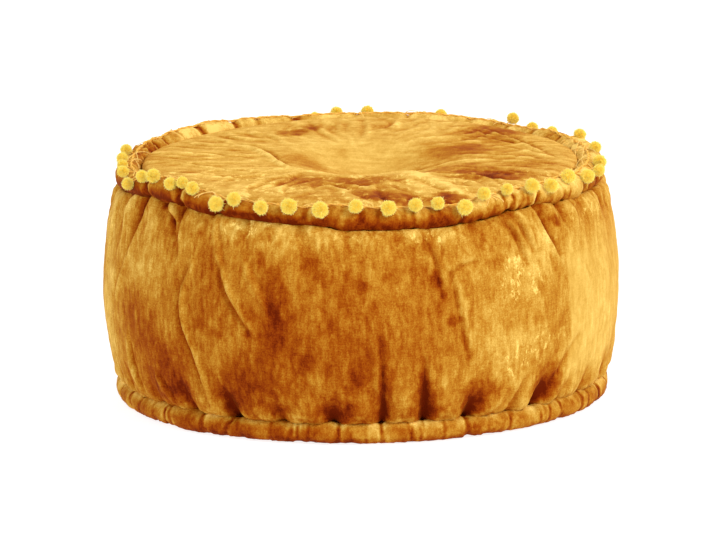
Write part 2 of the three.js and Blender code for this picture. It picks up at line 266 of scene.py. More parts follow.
# Crushed velvet: a short polyester pile pressed flat in patches. Pile that stands shows rust and deep,
# pile that lies towards the eye shows pale amber, and the patches run in streaks down the cloth.
velvetLook = {
    "stops": [
        (0.00, "#641A00"), (0.16, "#873303"), (0.32, "#9D4D06"), (0.46, "#AF6B17"),
        (0.60, "#C1872A"), (0.76, "#D5A648"), (0.90, "#E9BF60"), (1.00, "#FDD674"),
    ],
    # size of the features in millimetres, how they are drawn out, detail, roughness and distortion; the
    # pile itself is finer than a pixel, so the grain is drawn at 1.4 mm, about twice its real size
    "patterns": {
        "drift": (75, "blotch", 2, 0.5, 0.0), "blotch": (12, "blotch", 6, 0.68, 0.5),
        "streak": (4.5, "streak", 4, 0.6, 0.2), "grain": (1.4, "grain", 2, 0.6, 0.0),
        "rib": (1.3, "rib", 3, 0.6, 0.0), "speck": (7, "blotch", 5, 0.72, 0.15),
    },
    "speckFrom": 0.54, "speckGain": 11, "pileShare": 0.46, "crushShare": 0.42,
    "relief": {"blotch": 0.5, "streak": 0.35, "grain": 0.35}, "reliefStrength": 0.5, "reliefHeight": 1.6,
    "finish": {
        "Roughness": 0.75, "Specular IOR Level": 0.03, "Sheen Weight": 0.18, "Sheen Roughness": 0.35,
        "Sheen Tint": hexColour("#FFA838"),
    },
}
# How each piece wears the velvet: level and contrast of its tone, the shares of drift, blotch, streak,
# grain and rib in it, and how its features are drawn out
bandWear = {
    "level": 0.565, "contrast": 1.0, "specks": 0.05, "shares": (0.35, 0.62, 0.5, 0.46, 0.24),
    "blotch": (1, 1, 1.6), "streak": (1, 1, 4), "rib": (7, 7, 1), "grain": (1, 1, 1),
}
# the panel is pulled tight from side to side, so its streaks run that way
panelWear = {
    "level": 0.715, "contrast": 0.95, "specks": 0.03, "shares": (0.35, 0.42, 0.6, 0.3, 0.22),
    "blotch": (1.4, 2.4, 1), "streak": (6, 2.4, 1), "rib": (12, 2.4, 1), "grain": (1, 4, 1),
}
rollWear = {
    "level": 0.545, "contrast": 0.9, "specks": 0.05, "shares": (0.3, 0.66, 0.5, 0.44, 0.2),
    "blotch": (1, 1, 1.2), "streak": (1, 1, 2), "rib": (1, 1, 3), "grain": (1, 1, 1),
}


def makeVelvet(name, wear):
    look = velvetLook
    material, tree, shader = newMaterial(name, look["finish"])
    parts = {}
    for part, (size, stretch, *settings) in look["patterns"].items():
        parts[part] = drawPattern(tree, size, wear[stretch], *settings)
    pile, crush, laid = [
        addNode(tree, "ShaderNodeAttribute", attribute_name=attribute).outputs["Fac"]
        for attribute in ("pileToneLightAndShade", "pileCrush", "pileLaid")
    ]
    # every pattern goes up and down about 0.5
    pattern = -0.5 * sum(wear["shares"])
    for part, share in zip(look["patterns"], wear["shares"]):
        pattern = blendIn(tree, pattern, parts[part], share)
    tone = blendIn(tree, wear["level"], pile, look["pileShare"])
    # where the pile is laid flat the cloth shows less of its pattern
    tone = blendIn(tree, tone, pattern, blendIn(tree, wear["contrast"], laid, -1.0))
    gain = look["speckGain"]
    specks = blendIn(tree, -look["speckFrom"] * gain, parts["speck"], gain, use_clamp=True)
    tone = blendIn(tree, tone, specks, blendIn(tree, wear["specks"], crush, look["crushShare"]))
    colourBy(tree, shader, tone, look["stops"])
    relief = 0.0
    for part, share in look["relief"].items():
        relief = blendIn(tree, relief, parts[part], share)
    roughenBy(tree, shader, relief, look["reliefStrength"], look["reliefHeight"])
    return material


# Yarn: many thin matt fibres that let a little light through, with shade painted darker where they lie deep
yarnLook = {
    "fibreShare": 0.6, "reliefStrength": 0.4, "reliefHeight": 0.4,
    "finish": {
        "Roughness": 0.9, "Specular IOR Level": 0.04, "Sheen Weight": 0.28, "Sheen Roughness": 0.5,
        "Sheen Tint": hexColour("#FFD040"), "Subsurface Weight": 0.08,
        "Subsurface Radius": (1.0, 0.7, 0.3), "Subsurface Scale": 2 * mm,
    },
}


def makeYarn(name, stops, fibreSize):
    look = yarnLook
    material, tree, shader = newMaterial(name, look["finish"])
    fibre = drawPattern(tree, fibreSize, (1, 1, 1), 3, 0.6)
    depth = addNode(tree, "ShaderNodeAttribute", attribute_name="fibreDepthShade").outputs["Fac"]
    share = look["fibreShare"]
    tone = blendIn(tree, blendIn(tree, -0.5 * share, fibre, share), depth, 1.0)
    colourBy(tree, shader, tone, stops)
    roughenBy(tree, shader, fibre, look["reliefStrength"], look["reliefHeight"])
    return material


bandVelvet = makeVelvet("crushedVelvetBand", bandWear)
panelVelvet = makeVelvet("crushedVelvetPanel", panelWear)
rollVelvet = makeVelvet("crushedVelvetRoll", rollWear)
# Acrylic pompom yarn: cut ends, matt and fuzzy, painted paler at the tips and with painted shade between them
yarnStops = [(0.0, "#F9B228"), (0.3, "#FFDA4A"), (0.65, "#FFF27C"), (1.0, "#FFFBB8")]
pompomYarn = makeYarn("acrylicPompomYarn", yarnStops, 2.2)
# Two-ply cotton cord and its threads: smooth, pale, with painted shade in the line between the plies
cordStops = [(0.0, "#B87420"), (0.4, "#E8AC46"), (0.8, "#FCCE6C"), (1.0, "#FFE08C")]
cordYarn = makeYarn("plyedCottonCord", cordStops, 1.2)
print("materials made")


# Camera and light

cameraSettings = {
    "distance": 10650, "elevation": 11.95, "lens": 500.6, "sensorWidth": 36, "targetHeight": 132.3,
    "shiftPixels": 3.0, "frameWidth": 716, "roll": 0.78,
}


def addCamera():
    look = cameraSettings
    rise = math.radians(look["elevation"])
    target = Vector((0, 0, look["targetHeight"])) * mm
    away = Vector((0, -math.cos(rise), math.sin(rise)))
    bpy.ops.object.camera_add(location=target + away * look["distance"] * mm)
    camera = bpy.context.object
    camera.name = "photoCamera"
    turned = (-away).to_track_quat("-Z", "Y").to_matrix().to_4x4()
    camera.rotation_euler = (turned @ Matrix.Rotation(math.radians(-look["roll"]), 4, "Z")).to_euler()
    camera.data.lens = look["lens"]
    camera.data.sensor_width = look["sensorWidth"]
    camera.data.clip_end = 40
    camera.data.shift_x = -look["shiftPixels"] / look["frameWidth"]
    bpy.context.scene.camera = camera


addCamera()

# places and sizes in metres
studio = {
    "lights": [
        # name, place, size, power, colour
        ("keySoftbox", (2.4, -2.4, 2.9), 1.8, 88, "#FFF8EE"),
        ("fillSoftbox", (-2.8, -2.2, 1.5), 2.2, 24, "#FFFFFF"),
        ("backSoftbox", (1.4, 2.6, 2.2), 1.6, 44, "#FFF8EE"),
    ],
    "aim": (0, 0, 0.13), "worldColour": "#FFFFFF", "worldStrength": 0.72,
    "floorSize": 60, "floorDrop": 0.0005,
}


def addLight(name, place, size, power, colour):
    bpy.ops.object.light_add(type="AREA", location=place)
    light = bpy.context.object
    light.name = name
    light.data.shape = "DISK"
    light.data.size = size
    light.data.energy = power
    light.data.color = hexColour(colour)[:3]
    light.rotation_euler = (Vector(studio["aim"]) - Vector(place)).to_track_quat("-Z", "Y").to_euler()


for row in studio["lights"]:
    addLight(*row)
world = bpy.data.worlds.new("studioWorld")
bpy.context.scene.world = world
world.use_nodes = True
world.node_tree.nodes["Background"].inputs["Color"].default_value = hexColour(studio["worldColour"])
world.node_tree.nodes["Background"].inputs["Strength"].default_value = studio["worldStrength"]
bpy.context.scene.view_settings.view_transform = "Standard"


def addFloor():
    # a painted studio floor: matt, nearly even, lit from all round so that it stays pale
    deselectAll()
    bpy.ops.mesh.primitive_plane_add(size=studio["floorSize"], location=(0, 0, -studio["floorDrop"]))
    floor = takePrimitive("studioFloor")
    finish = {"Roughness": 0.8, "Emission Color": hexColour("#FFFFFF"), "Emission Strength": 0.85}
    material, tree, shader = newMaterial("paleStudioFloor", finish)
    mottle = drawPattern(tree, 400, (1, 1, 1), 3, 0.5)
    colourBy(tree, shader, mottle, [(0.3, "#8E8E8E"), (0.7, "#969696")])
    floor.data.materials.append(material)


addFloor()
print("camera, light and floor made")


# The seams that the pieces share

# The top roll's path, read off the photo: angle, its lift over the mean height, the share of its height
# that shows, and how far under its middle the band is sewn on
seams = {
    "topHeight": 241, "topWander": 1.3, "bottomHeight": 20,
    "path": [
        # angle, lift, share, drop
        (-105, 0, 1, 10), (-90, 0.5, 1, 10), (-78, 2, 0.94, 8.5), (-72, 3, 0.92, 7), (-67, 6, 0.87, 6),
        (-60.5, 10, 0.72, 4.6), (-55.5, 10.5, 0.9, 7), (-51.5, 10.5, 0.88, 7), (-47, 8.5, 0.7, 3.4),
        (-42, 6, 0.76, 5.4), (-36, 4.4, 0.74, 5), (-33, 3.8, 0.7, 4.4), (-28, 3.6, 0.78, 5.6),
        (-22, 2.4, 0.8, 6), (-16, 0.8, 0.82, 6.2), (-13, 0.4, 0.8, 5.4), (-9, 0.6, 0.9, 7.4),
        (-5, -1.0, 1.03, 11), (2.5, -3.4, 0.93, 9.6), (7, -4.8, 0.88, 8.8), (12, -5.8, 0.84, 7.6),
        (17, -6.4, 0.86, 8.4), (21, -6.9, 0.85, 7.8), (24.6, -5.4, 0.84, 7.4), (28, -3.6, 0.9, 9),
        (33, -0.2, 0.98, 10), (36.8, 1.4, 0.92, 8.6), (40, 3, 0.92, 8.6), (44, 3.6, 0.88, 8.4),
        (47, 5, 0.76, 5), (50, 3.2, 0.88, 7.6), (55, 2, 0.94, 9.4), (59, 3, 0.9, 8),
        (62, 1.6, 0.96, 9.6), (66.5, 1.8, 0.9, 8.4), (76, 0.5, 1, 10), (90, 0, 1, 10),
    ],
}


def alongPath(angle, column):
    turned = np.asarray(turnBetween(angle, 0), float)
    knots = [row[0] for row in seams["path"]]
    values = [row[column] for row in seams["path"]]
    # the mean over three degrees rounds the corners between the rows
    return sum(np.interp(turned + step, knots, values) for step in (-1.5, -0.75, 0, 0.75, 1.5)) / 5


def topMiddle(angle):
    wander = np.sin(np.radians(angle * 2 + 20)) + 0.6 * np.sin(np.radians(angle * 5))
    return seams["topHeight"] + seams["topWander"] * wander + alongPath(angle, 1)


def topSeam(angle):
    return topMiddle(angle) - alongPath(angle, 3)


def dressPiece(piece, material, slot, *nodes):
    piece.data.materials.append(material)
    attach(piece, "root")
    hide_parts(*nodes)


def finishPiece(piece, material, slot, *nodes):
    makeActive(piece)
    bpy.ops.object.shade_smooth()
    dressPiece(piece, material, slot, *nodes)
    print(piece.name, "made,", sum(len(face.vertices) - 2 for face in piece.data.polygons), "triangles")


# Places that are lighter (above 0) or darker (below 0), where the pile lies lighter or darker or where shade
# or light is painted. A row gives the middle of the place, half its width and half its height in millimetres,
# and its tone.
def patchTone(across, along, points, rows, seed):
    warpAcross = 11 * wobble(points, 22, seed) + 8 * wobble(points, 7, seed + 9)
    warpAlong = 14 * wobble(points, 26, seed + 20) + 9 * wobble(points, 8, seed + 31)
    tone = np.zeros(len(points))
    for middleAcross, middleAlong, halfWidth, halfHeight, strength in rows:
        # a small patch wanders less than a large one
        wander = min(1, 0.3 + halfWidth / 28)
        far = np.hypot((across(middleAcross) + wander * warpAcross) / halfWidth,
                       (along - middleAlong + wander * warpAlong) / halfHeight)
        rim = np.clip((1.6 - far) / 1.25, 0, 1)
        tone += strength * rim * rim * (3 - 2 * rim)
    return tone


# Rolls: padded velvet tubes round both seams, puckered where the stitches draw them in

# A pucker has its angle, depth, width, and how far it slants on its way over the roll, in millimetres. The
# other rows have an angle, half a width in degrees, and how much fatter, lighter or more crumpled it is.
topRoll = {
    "name": "topPaddedRoll", "node": "top_roll", "segments": 540, "sides": 24, "ring": 246.5, "radius": 13.0,
    "lobe": 1.2, "onFloor": False, "seed": 41,
    "puckers": [
        (-84, 3.0, 3.2, -2), (-73, 3.6, 3.0, 3), (-60.8, 6.6, 3.0, -4), (-47.2, 6.6, 3.0, -5),
        (-34.6, 5.2, 2.8, 3), (-27, 1.6, 2.2, 1), (-19.5, 1.8, 2.4, 2), (-13.2, 3.6, 2.6, 1),
        (-5.5, 1.8, 2.6, 7), (0.5, 3.0, 2.2, -2), (4, 1.2, 1.8, 2), (10.2, 2.4, 1.8, 1),
        (12.6, 3.2, 2.0, -1), (16.5, 2.0, 1.8, 1), (19, 2.2, 1.8, -1), (21.5, 1.6, 1.6, 1),
        (24.6, 4.2, 2.2, 3), (29, 1.6, 1.8, -2), (33.5, 1.6, 2.0, 2), (36.2, 3.6, 1.6, -2),
        (38.4, 4.6, 2.0, 2), (41.2, 2.8, 1.4, 3), (43, 2.6, 1.4, -3), (46.6, 6.2, 2.8, 3),
        (51, 1.8, 2.0, -2), (56, 3.0, 2.0, -2), (58.4, 2.0, 1.8, 2), (66.5, 4.4, 2.8, 1),
        (70, 2.6, 2.2, -3), (76, 2.6, 2.4, -2), (81, 4.0, 3.0, 2), (214.4, 4.4, 2.6, -2),
        (225.4, 5.2, 3.0, 2), (233, 2.4, 2.2, 2), (240, 4.4, 2.6, 2), (246.5, 4.6, 2.6, -3),
        (251, 3.6, 2.4, 2), (258, 2.6, 2.4, 1), (266, 3, 2.6, 2),
    ],
    "hidden": {"from": 86, "to": 210, "every": (7, 17), "depth": (1.5, 3.8), "width": (2.4, 3.8), "slant": 4},
    "fat": [
        (-139, 5.5, 3.2), (-126, 5, 2.4), (-151, 4, 1.0), (-115, 4, 1.0), (-54, 4, 1.4),
        (-40, 3.4, 1.2), (-66.5, 3.4, 1.0), (8, 5, 0.6), (59, 4, 0.8), (90, 14, 1.6), (108, 12, 2.2),
        (124, 8, 1.4),
    ],
    "shadeFrom": 20, "shade": 0.9, "light": 0.6, "tone": -0.2, "sharp": 0.8, "dentShade": 0.26,
    "segmentTone": 0.1,
    # how much shade is painted on its underside, by angle; the more there is, the less light is painted on
    # its top
    "shades": [
        (-180, 0.6), (-110, 0.6), (-90, 1.0), (-60, 1.15), (-42, 1.2), (-34, 1.45), (-12, 1.45),
        (-3, 1.1), (5, 1.05), (22, 0.85), (30, 0.55), (60, 0.5), (75, 0.35), (100, 0.6), (180, 0.6),
    ],
    # a painted highlight on the edge of the fold beside a deep pucker, on its right up to this angle and then
    # on its left
    "rim": 0.2, "rimsTurn": 20,
    # some tones paint shade into the pinches at the back and paint light on the back and inner side where
    # shade falls; the others are the pile's own tone
    "tones": [
        (-85, 8, -0.1), (-54, 14, -0.1), (-24, 12, -0.42), (-9, 5, 0.0), (2, 4, -0.3), (14, 5, -0.12),
        (20, 5, -0.1), (30, 7, 0.05), (42, 7, 0.2), (52, 6, 0.15), (64, 14, 0.4), (-134.6, 1.6, -0.8),
        (-145.6, 1.6, -0.8), (-113, 5, -0.5), (-120, 3.5, -0.2), (-165, 4, -0.5), (-150, 26, 0.2),
        (160, 22, 0.5), (133, 12, 0.45), (120, 2.5, -0.5), (141, 2.5, -0.5), (100, 18, 0.45),
    ],
    "crumpled": [(98, 34, 1.0), (-108, 14, 1.3)],
}
bottomRoll = {
    "name": "bottomPaddedRoll", "node": "bottom_roll", "segments": 540, "sides": 24, "ring": 251.6,
    "radius": 11.4, "lobe": 0.7, "onFloor": True, "middle": 11.6, "flattened": 1.2, "seed": 57,
    "puckers": [
        (-80, 3.9, 2.6, 1), (-70.6, 3.4, 2.4, -2), (-65, 2.1, 2.0, 1), (-58, 1.8, 1.8, -1),
        (-53, 4.2, 2.0, 3), (-51, 3.6, 1.6, -1), (-40.2, 4.4, 2.2, -2), (-33.2, 3.4, 2.0, 5),
        (-30, 2.1, 1.8, -4), (-22, 1.6, 1.8, 1), (-17, 3.1, 1.6, 2), (-15.4, 3.6, 1.6, -1),
        (-12.8, 2.3, 1.4, 0), (-5.7, 4.2, 1.8, 1), (-3.1, 2.1, 1.4, -1), (0.5, 1.8, 1.4, 0),
        (4.4, 3.9, 1.8, -1), (11.2, 3.1, 1.8, -3), (13.6, 2.1, 1.6, 2), (18.8, 2.1, 1.6, 0),
        (25, 4.2, 2.0, -1), (30.5, 1.6, 1.6, 1), (36.5, 3.6, 2.0, 2), (45.5, 2.3, 1.8, -1),
        (49, 3.1, 1.8, 3), (53, 2.9, 1.8, -2), (62.3, 4.4, 2.2, 1), (66, 2.3, 1.8, -1),
        (73.5, 5.2, 2.4, 0), (82, 4.2, 2.4, 1),
    ],
    "hidden": {"from": 88, "to": 274, "every": (4, 12), "depth": (1.4, 4.0), "width": (1.8, 2.6), "slant": 3},
    "fat": [(-75, 5, 0.8), (-46, 5, 0.6), (67, 4, 1.0), (78, 4, 1.2)],
    "shadeFrom": -15, "shade": 0.5, "light": 1.1, "tone": -0.2, "sharp": 0.75, "dentShade": 0.32,
    "segmentTone": 0.16, "shades": [(-180, 1.0), (180, 1.0)], "rim": 0.12, "rimsTurn": 20,
    "tones": [
        (-84, 5, 0.4), (-70, 10, 0.15), (-30, 20, -0.25), (-3, 14, -0.2), (20, 12, -0.05),
        (45, 12, 0.05), (70, 8, -0.1),
    ],
    "crumpled": [],
}


def allPuckers(look):
    rows = list(look["puckers"])
    rule = look["hidden"]
    chance = random.Random(look["seed"])
    angle = rule["from"] + 3.0
    while angle < rule["to"] - 2:
        depth = chance.uniform(*rule["depth"])
        width = chance.uniform(*rule["width"])
        rows.append((angle, depth, width, chance.uniform(-1, 1) * rule["slant"]))
        angle += chance.uniform(*rule["every"])
    return rows


def acrossPucker(angle, turn, middle, slant, look):
    return arcFrom(middle, angle, look["ring"]) - slant * np.sin(np.radians(turn))


def addBells(rows, angle):
    # rows of an angle, half a width and a height, each a soft hump
    bells = (height * bell(turnBetween(angle, middle), width) for middle, width, height in rows)
    return sum(bells, 0 * angle)


def rollDent(angle, turn, look):
    # how deep the puckers press the roll in, and how far a point is from the nearest one
    dent = np.zeros_like(angle)
    nearest = np.full_like(angle, 60.0)
    for middle, depth, width, slant in allPuckers(look):
        across = np.abs(acrossPucker(angle, turn, middle, slant, look))
        sharp = width * look["sharp"]
        pinch = depth * (np.exp(-(across / sharp) ** 1.1) - 0.28 * bell(across - 3.0 * sharp, 1.6 * sharp))
        dent = np.where(np.abs(pinch) > np.abs(dent), pinch, dent)
        nearest = np.minimum(nearest, across * (1 + 2 / (depth + 0.5)))
    return dent, nearest


def rollReach(angle, turn, look):
    # how far the skin lies from the roll's middle, at each angle round the pouf and each turn round the roll
    angle = np.asarray(angle, float)
    turn = turn + np.zeros_like(angle)
    dent, nearest = rollDent(angle, turn, look)
    reach = look["radius"] - dent + look["lobe"] * (0.6 - bell(nearest, 13)) + addBells(look["fat"], angle)
    seed = look["seed"]
    slow = np.sin(np.radians(angle * 7 + seed)) + 0.7 * np.sin(np.radians(angle * 17 + turn * 0.6 + seed * 3))
    return reach + 0.5 * slow


def rollMiddle(angle, look):
    return look["middle"] + 0 * angle if look["onFloor"] else topMiddle(angle)


def rollShare(angle, look):
    return 1.0 + 0 * angle if look["onFloor"] else alongPath(angle, 2)


def besideRoll(angle, turn, look, away=0.0):
    # the radius and height of a point on the roll's skin, or a little off it
    reach = rollReach(angle, turn, look) + away
    rise = reach * rollShare(angle, look) * np.sin(np.radians(turn))
    return look["ring"] + reach * np.cos(np.radians(turn)), rollMiddle(angle, look) + rise


def segmentTones(angle, look):
    # each stretch between two puckers takes a tone of its own, over the tone of its part of the roll
    ends = np.sort(turnBetween(np.array([row[0] for row in allPuckers(look)]), 0))
    chance = random.Random(look["seed"] + 1)
    own = np.array([chance.uniform(-1, 1) for _ in range(len(ends) + 1)]) * look["segmentTone"]
    return own[np.searchsorted(ends, turnBetween(angle, 0))] + addBells(look["tones"], angle)


# a painted highlight along the fold beside each deep pucker
def rimLight(angle, turn, look):
    light = np.zeros_like(angle)
    for middle, depth, width, slant in allPuckers(look):
        across = acrossPucker(angle, turn, middle, slant, look)
        side = 1 if turnBetween(middle, 0) < look["rimsTurn"] else -1
        light += max(0, depth - 2.5) * bell(side * across - 1.9 * width, 0.9 * width)
    return light * look["rim"]


def flattenUnder(points, soft):
    # the roll lies on the floor, and its underside flattens over its last millimetre
    over = points[:, 2] - soft
    points[:, 2] = np.where(over < 0, soft * np.exp(np.minimum(0, over) / soft), points[:, 2])
    points[:, 2] -= points[:, 2].min()


def makeRoll(look):
    roll = addTorus(look["name"], look["segments"], look["sides"], look["ring"], look["radius"])
    start = readPoints(roll)
    angle = angleOf(start)
    turn = np.degrees(np.arctan2(start[:, 2], np.hypot(start[:, 0], start[:, 1]) - look["ring"]))
    writePoints(roll, placeAt(angle, *besideRoll(angle, turn, look)))
    subdivideOnce(roll)
    fine = readPoints(roll)
    angle = angleOf(fine)
    out = np.hypot(fine[:, 0], fine[:, 1]) - look["ring"]
    turn = np.degrees(np.arctan2((fine[:, 2] - rollMiddle(angle, look)) / rollShare(angle, look), out))
    dent, nearest = rollDent(angle, turn, look)
    # small wrinkles run over the roll, closest beside the puckers and along the seams
    seed = look["seed"]
    ribs = np.stack([angle * 1.15, turn * 0.022, np.full_like(angle, seed)], axis=-1)
    wrinkle = crinkle(ribs, 1.0, seed) + 0.6 * crinkle(ribs * 2.3, 1.0, seed + 5)
    deepening = 0.35 + 0.55 * bell(nearest, 14) + 0.35 * bell(turn + 60, 45) + 0.25 * bell(turn - 75, 25)
    crumple = addBells(look["crumpled"], angle) * ramp(turn, 30, 40)
    crushed = crinkle(fine, 9, seed + 8) + 0.6 * crinkle(fine, 4.5, seed + 9)
    press = 0.8 * wrinkle * deepening + 1.5 * crumple * crushed
    way = placeAt(angle, np.cos(np.radians(turn)), np.sin(np.radians(turn)))
    fine += way * press[:, None]
    if look["onFloor"]:
        flattenUnder(fine, look["flattened"])
    writePoints(roll, fine)
    # painted shade on the outer lower half and painted light over the top and the inner side, as if the roll
    # were lit from above
    shaded = np.interp(turnBetween(angle, 0), *zip(*look["shades"]))
    underside = ramp(-turn, -look["shadeFrom"], 50) * (turn > -150) * shaded
    crown = ramp(turn, 15, 40) * ramp(-turn, -178, 30) * np.clip(1.5 - shaded, 0.1, 1)
    tone = look["tone"] - look["shade"] * underside + look["light"] * crown
    # painted shade in the puckers, in the wrinkle valleys and in the crumpled hollows, and a painted
    # highlight on the fold beside each deep pucker; the rest is the pile's own tone
    tone -= look["dentShade"] * dent + 0.25 * np.clip(-wrinkle, 0, 1) * deepening
    tone += 0.75 * wobble(fine, 24, seed + 3) + segmentTones(angle, look) + rimLight(angle, turn, look)
    tone -= 0.6 * crumple * np.clip(-crushed, 0, 1)
    # no shade is deeper than the darkest rust, which wanders a little
    setAttribute(roll, "pileToneLightAndShade", np.maximum(tone, -1.02 + 0.5 * wobble(fine, 8, seed + 6)))
    finishPiece(roll, rollVelvet, "velvet", look["node"])
    return roll


topRollPiece = makeRoll(topRoll)
makeRoll(bottomRoll)


# Top panel: one round of velvet over the filling, domed to its shoulder and dipped in the middle

topPanel = {
    "grid": 100, "radius": 236.0, "footRadius": 232.6, "foot": 240, "rise": 13.2, "squareness": 30,
    "thickness": 2.0, "dipDepth": 21, "dipRadius": 118, "dipX": 14, "dipY": 0, "dipLength": 1.12,
    # low swellings: x, y, half width, height
    "mounds": [
        (-200, 10, 80, 3.6), (-110, -130, 60, 1.0), (50, -110, 40, 3.0), (180, -40, 70, 1.6),
        (0, 215, 150, 3.2),
    ],
    # how the panel drops to the seam at the front right: angle, half width, start radius, depth
    "hollows": [(13, 12, 168, 10), (35, 7, 190, 6), (-12, 10, 200, 3.5)],
    # where the rim stands up against the roll: angle, half width, height
    "stands": [(104, 34, 7.0), (-108, 14, 4.0)],
    # how much of the roll's lift the panel's rim follows
    "follow": 0.75,
    # creases: depth, width, the ridge beside it, and its points as (x, y); a depth below 0 is a ridge
    "creases": [
        (3.2, 3.2, 3.4, [(-134, 95), (-112, 68), (-96, 38), (-80, -10), (-70, -38), (-54, -50), (-20, -52)]),
        (1.8, 2.6, 1.6, [(-97, 4), (-87, -6), (-75, -30)]),
        (-1.6, 5.0, 0.6, [(-101, -46), (-75, -50), (-45, -68)]),
        (-2.2, 5.0, 0.6, [(-45, -86), (-18, -92), (12, -98)]),
        (3.4, 3.0, 3.2, [(12, -70), (35, -68), (52, -70), (70, -88)]),
        (-2.5, 6.0, 0.6, [(44, -84), (65, -108), (80, -136), (92, -156), (106, -176)]),
        (3.0, 4.0, 0.8, [(60, -128), (74, -146), (88, -166)]),
        (2.4, 2.8, 1.8, [(-223, -5), (-170, -30), (-126, -66), (-80, -84)]),
        (2.4, 2.8, 1.6, [(-210, -60), (-160, -95), (-95, -110)]),
        (1.5, 2.8, 1.1, [(-205, 34), (-150, 24), (-112, 4)]),
        (1.3, 2.8, 1.0, [(-195, 70), (-150, 52), (-118, 30)]),
        (1.3, 2.8, 1.0, [(-180, 108), (-130, 78), (-100, 50)]),
        (2.6, 3.2, 1.6, [(-52, -150), (-34, -130), (-8, -166)]),
        (2.6, 3.6, 1.4, [(-62, -72), (-72, -110), (-94, -150)]),
        (2.2, 3.0, 1.6, [(-30, -120), (-5, -138), (30, -160)]),
        (2.2, 3.0, 1.4, [(60, 4), (72, -6), (92, -4)]),
        (2.4, 3.4, 1.4, [(86, 86), (104, 84), (132, 96)]),
        (2.2, 3.0, 1.6, [(110, 24), (140, 12), (190, -12)]),
        (2.2, 3.0, 1.7, [(85, 0), (150, -14), (205, -48)]),
        (2.5, 3.0, 1.7, [(90, -40), (140, -70), (196, -106)]),
        (2.6, 3.4, 1.6, [(84, -84), (124, -100), (160, -128)]),
        (1.9, 3.0, 1.4, [(60, 110), (120, 118), (184, 62)]),
        (2.6, 3.0, 1.8, [(139, 152), (163, 112), (190, 52), (208, 0)]),
        (1.8, 2.8, 1.4, [(120, 150), (150, 112), (180, 80)]),
        (1.8, 2.8, 1.4, [(150, 60), (185, 30), (214, -14)]),
    ],
    "pulls": {
        "count": 64, "depth": (0.5, 1.7), "width": (2.2, 4.0), "inner": (95, 165), "outer": (185, 228),
        "bend": 9, "ridge": 0.6, "seed": 5,
    },
    # tone patches: x, y, half width, half height, tone; some rows paint shade into the hollows by the roll
    # and below ridges, the rest are the pile's own patches
    "patches": [
        (-160, 70, 60, 70, 0.1), (-10, 60, 80, 60, 0.2), (-83, 138, 7, 15, -0.6),
        (-66, 142, 11, 14, -0.7), (-58, 170, 8, 12, -0.5), (-48, 164, 8, 16, -0.7),
        (-25, 150, 34, 18, -0.15), (0, 168, 30, 14, -0.15), (-58, 14, 20, 22, -0.4),
        (-18, 62, 8, 12, -0.3), (-32, 0, 20, 16, -0.2), (-110, 40, 30, 22, -0.2),
        (-20, -125, 60, 26, -0.4), (-60, -105, 40, 22, -0.35), (-100, -140, 40, 18, 0.1),
        (10, -125, 34, 22, -0.35), (26, -184, 30, 24, -0.85), (46, -202, 40, 14, -0.6),
        (92, -196, 20, 14, -0.9), (-40, -195, 50, 14, -0.2), (114, 36, 40, 26, -0.4),
        (150, 146, 40, 24, -0.55), (142, 96, 26, 16, -0.55), (92, -56, 44, 24, -0.4),
        (124, -88, 34, 22, -0.65), (150, -106, 30, 20, -0.7), (96, 60, 30, 20, -0.3),
        (112, 120, 30, 16, -0.3), (190, -48, 30, 30, -0.25), (70, -4, 14, 10, -0.25),
        (210, 20, 26, 60, 0.15), (-165, -70, 40, 16, -0.3), (-120, -160, 60, 22, 0.1),
        (30, -24, 40, 20, 0.2), (66, -100, 12, 12, 0.3), (120, 0, 90, 90, -0.08),
    ],
}


def roundCorners(line):
    # cuts the corners of a line twice, so that a crease bends softly
    for _ in range(2):
        rounded = [line[0]]
        for a, b in zip(line, line[1:]):
            rounded.append((0.75 * a[0] + 0.25 * b[0], 0.75 * a[1] + 0.25 * b[1]))
            rounded.append((0.25 * a[0] + 0.75 * b[0], 0.25 * a[1] + 0.75 * b[1]))
        line = rounded + [line[-1]]
    return line


def troughAlong(across, along, chain, depth, width, ridge):
    # a crease is a trough with a soft ridge along one side; a ridge below 0 stands on the other side
    chain = roundCorners(chain)
    spans = [math.dist(a, b) for a, b in zip(chain, chain[1:])]
    nearest = np.full(len(along), 1e9)
    side = np.zeros(len(along))
    share = np.zeros(len(along))
    done = 0.0
    for start, end, span in zip(chain, chain[1:], spans):
        wayAcross = (end[0] - start[0]) / span
        wayAlong = (end[1] - start[1]) / span
        offAcross = across - start[0]
        offAlong = along - start[1]
        travel = np.clip(offAcross * wayAcross + offAlong * wayAlong, 0, span)
        missAcross = offAcross - travel * wayAcross
        missAlong = offAlong - travel * wayAlong
        far = np.hypot(missAcross, missAlong)
        nearer = far < nearest
        nearest[nearer] = far[nearer]
        side[nearer] = (missAcross * wayAlong - missAlong * wayAcross)[nearer]
        share[nearer] = ((done + travel) / sum(spans))[nearer]
        done += span
    fade = np.clip(np.sin(math.pi * (0.1 + 0.8 * share)), 0, 1) ** 0.7
    trough = depth * np.exp(-np.abs(nearest / width) ** 1.3)
    raised = np.where(side * ridge > 0, bell(nearest - 2.2 * width, 1.3 * width), 0)
    return fade * (trough - abs(ridge) * raised)


def panelPulls():
    # short pull lines that run from the dip out to the rim
    rule = topPanel["pulls"]
    chance = random.Random(rule["seed"])
    rows = []
    for number in range(rule["count"]):
        angle = 360 * (number + chance.uniform(0, 0.9)) / rule["count"]
        inner = chance.uniform(*rule["inner"])
        outer = chance.uniform(*rule["outer"])
        bend = chance.uniform(-rule["bend"], rule["bend"])
        points = []
        for share in (0, 0.5, 1):
            bent = angle + bend * (share - 0.5) ** 2 * 4
            x, y, _ = placeAt(bent, inner + (outer - inner) * share, 0)
            points.append((float(x), float(y)))
        depth = chance.uniform(*rule["depth"])
        rows.append((depth, chance.uniform(*rule["width"]), depth * rule["ridge"], points))
    return rows


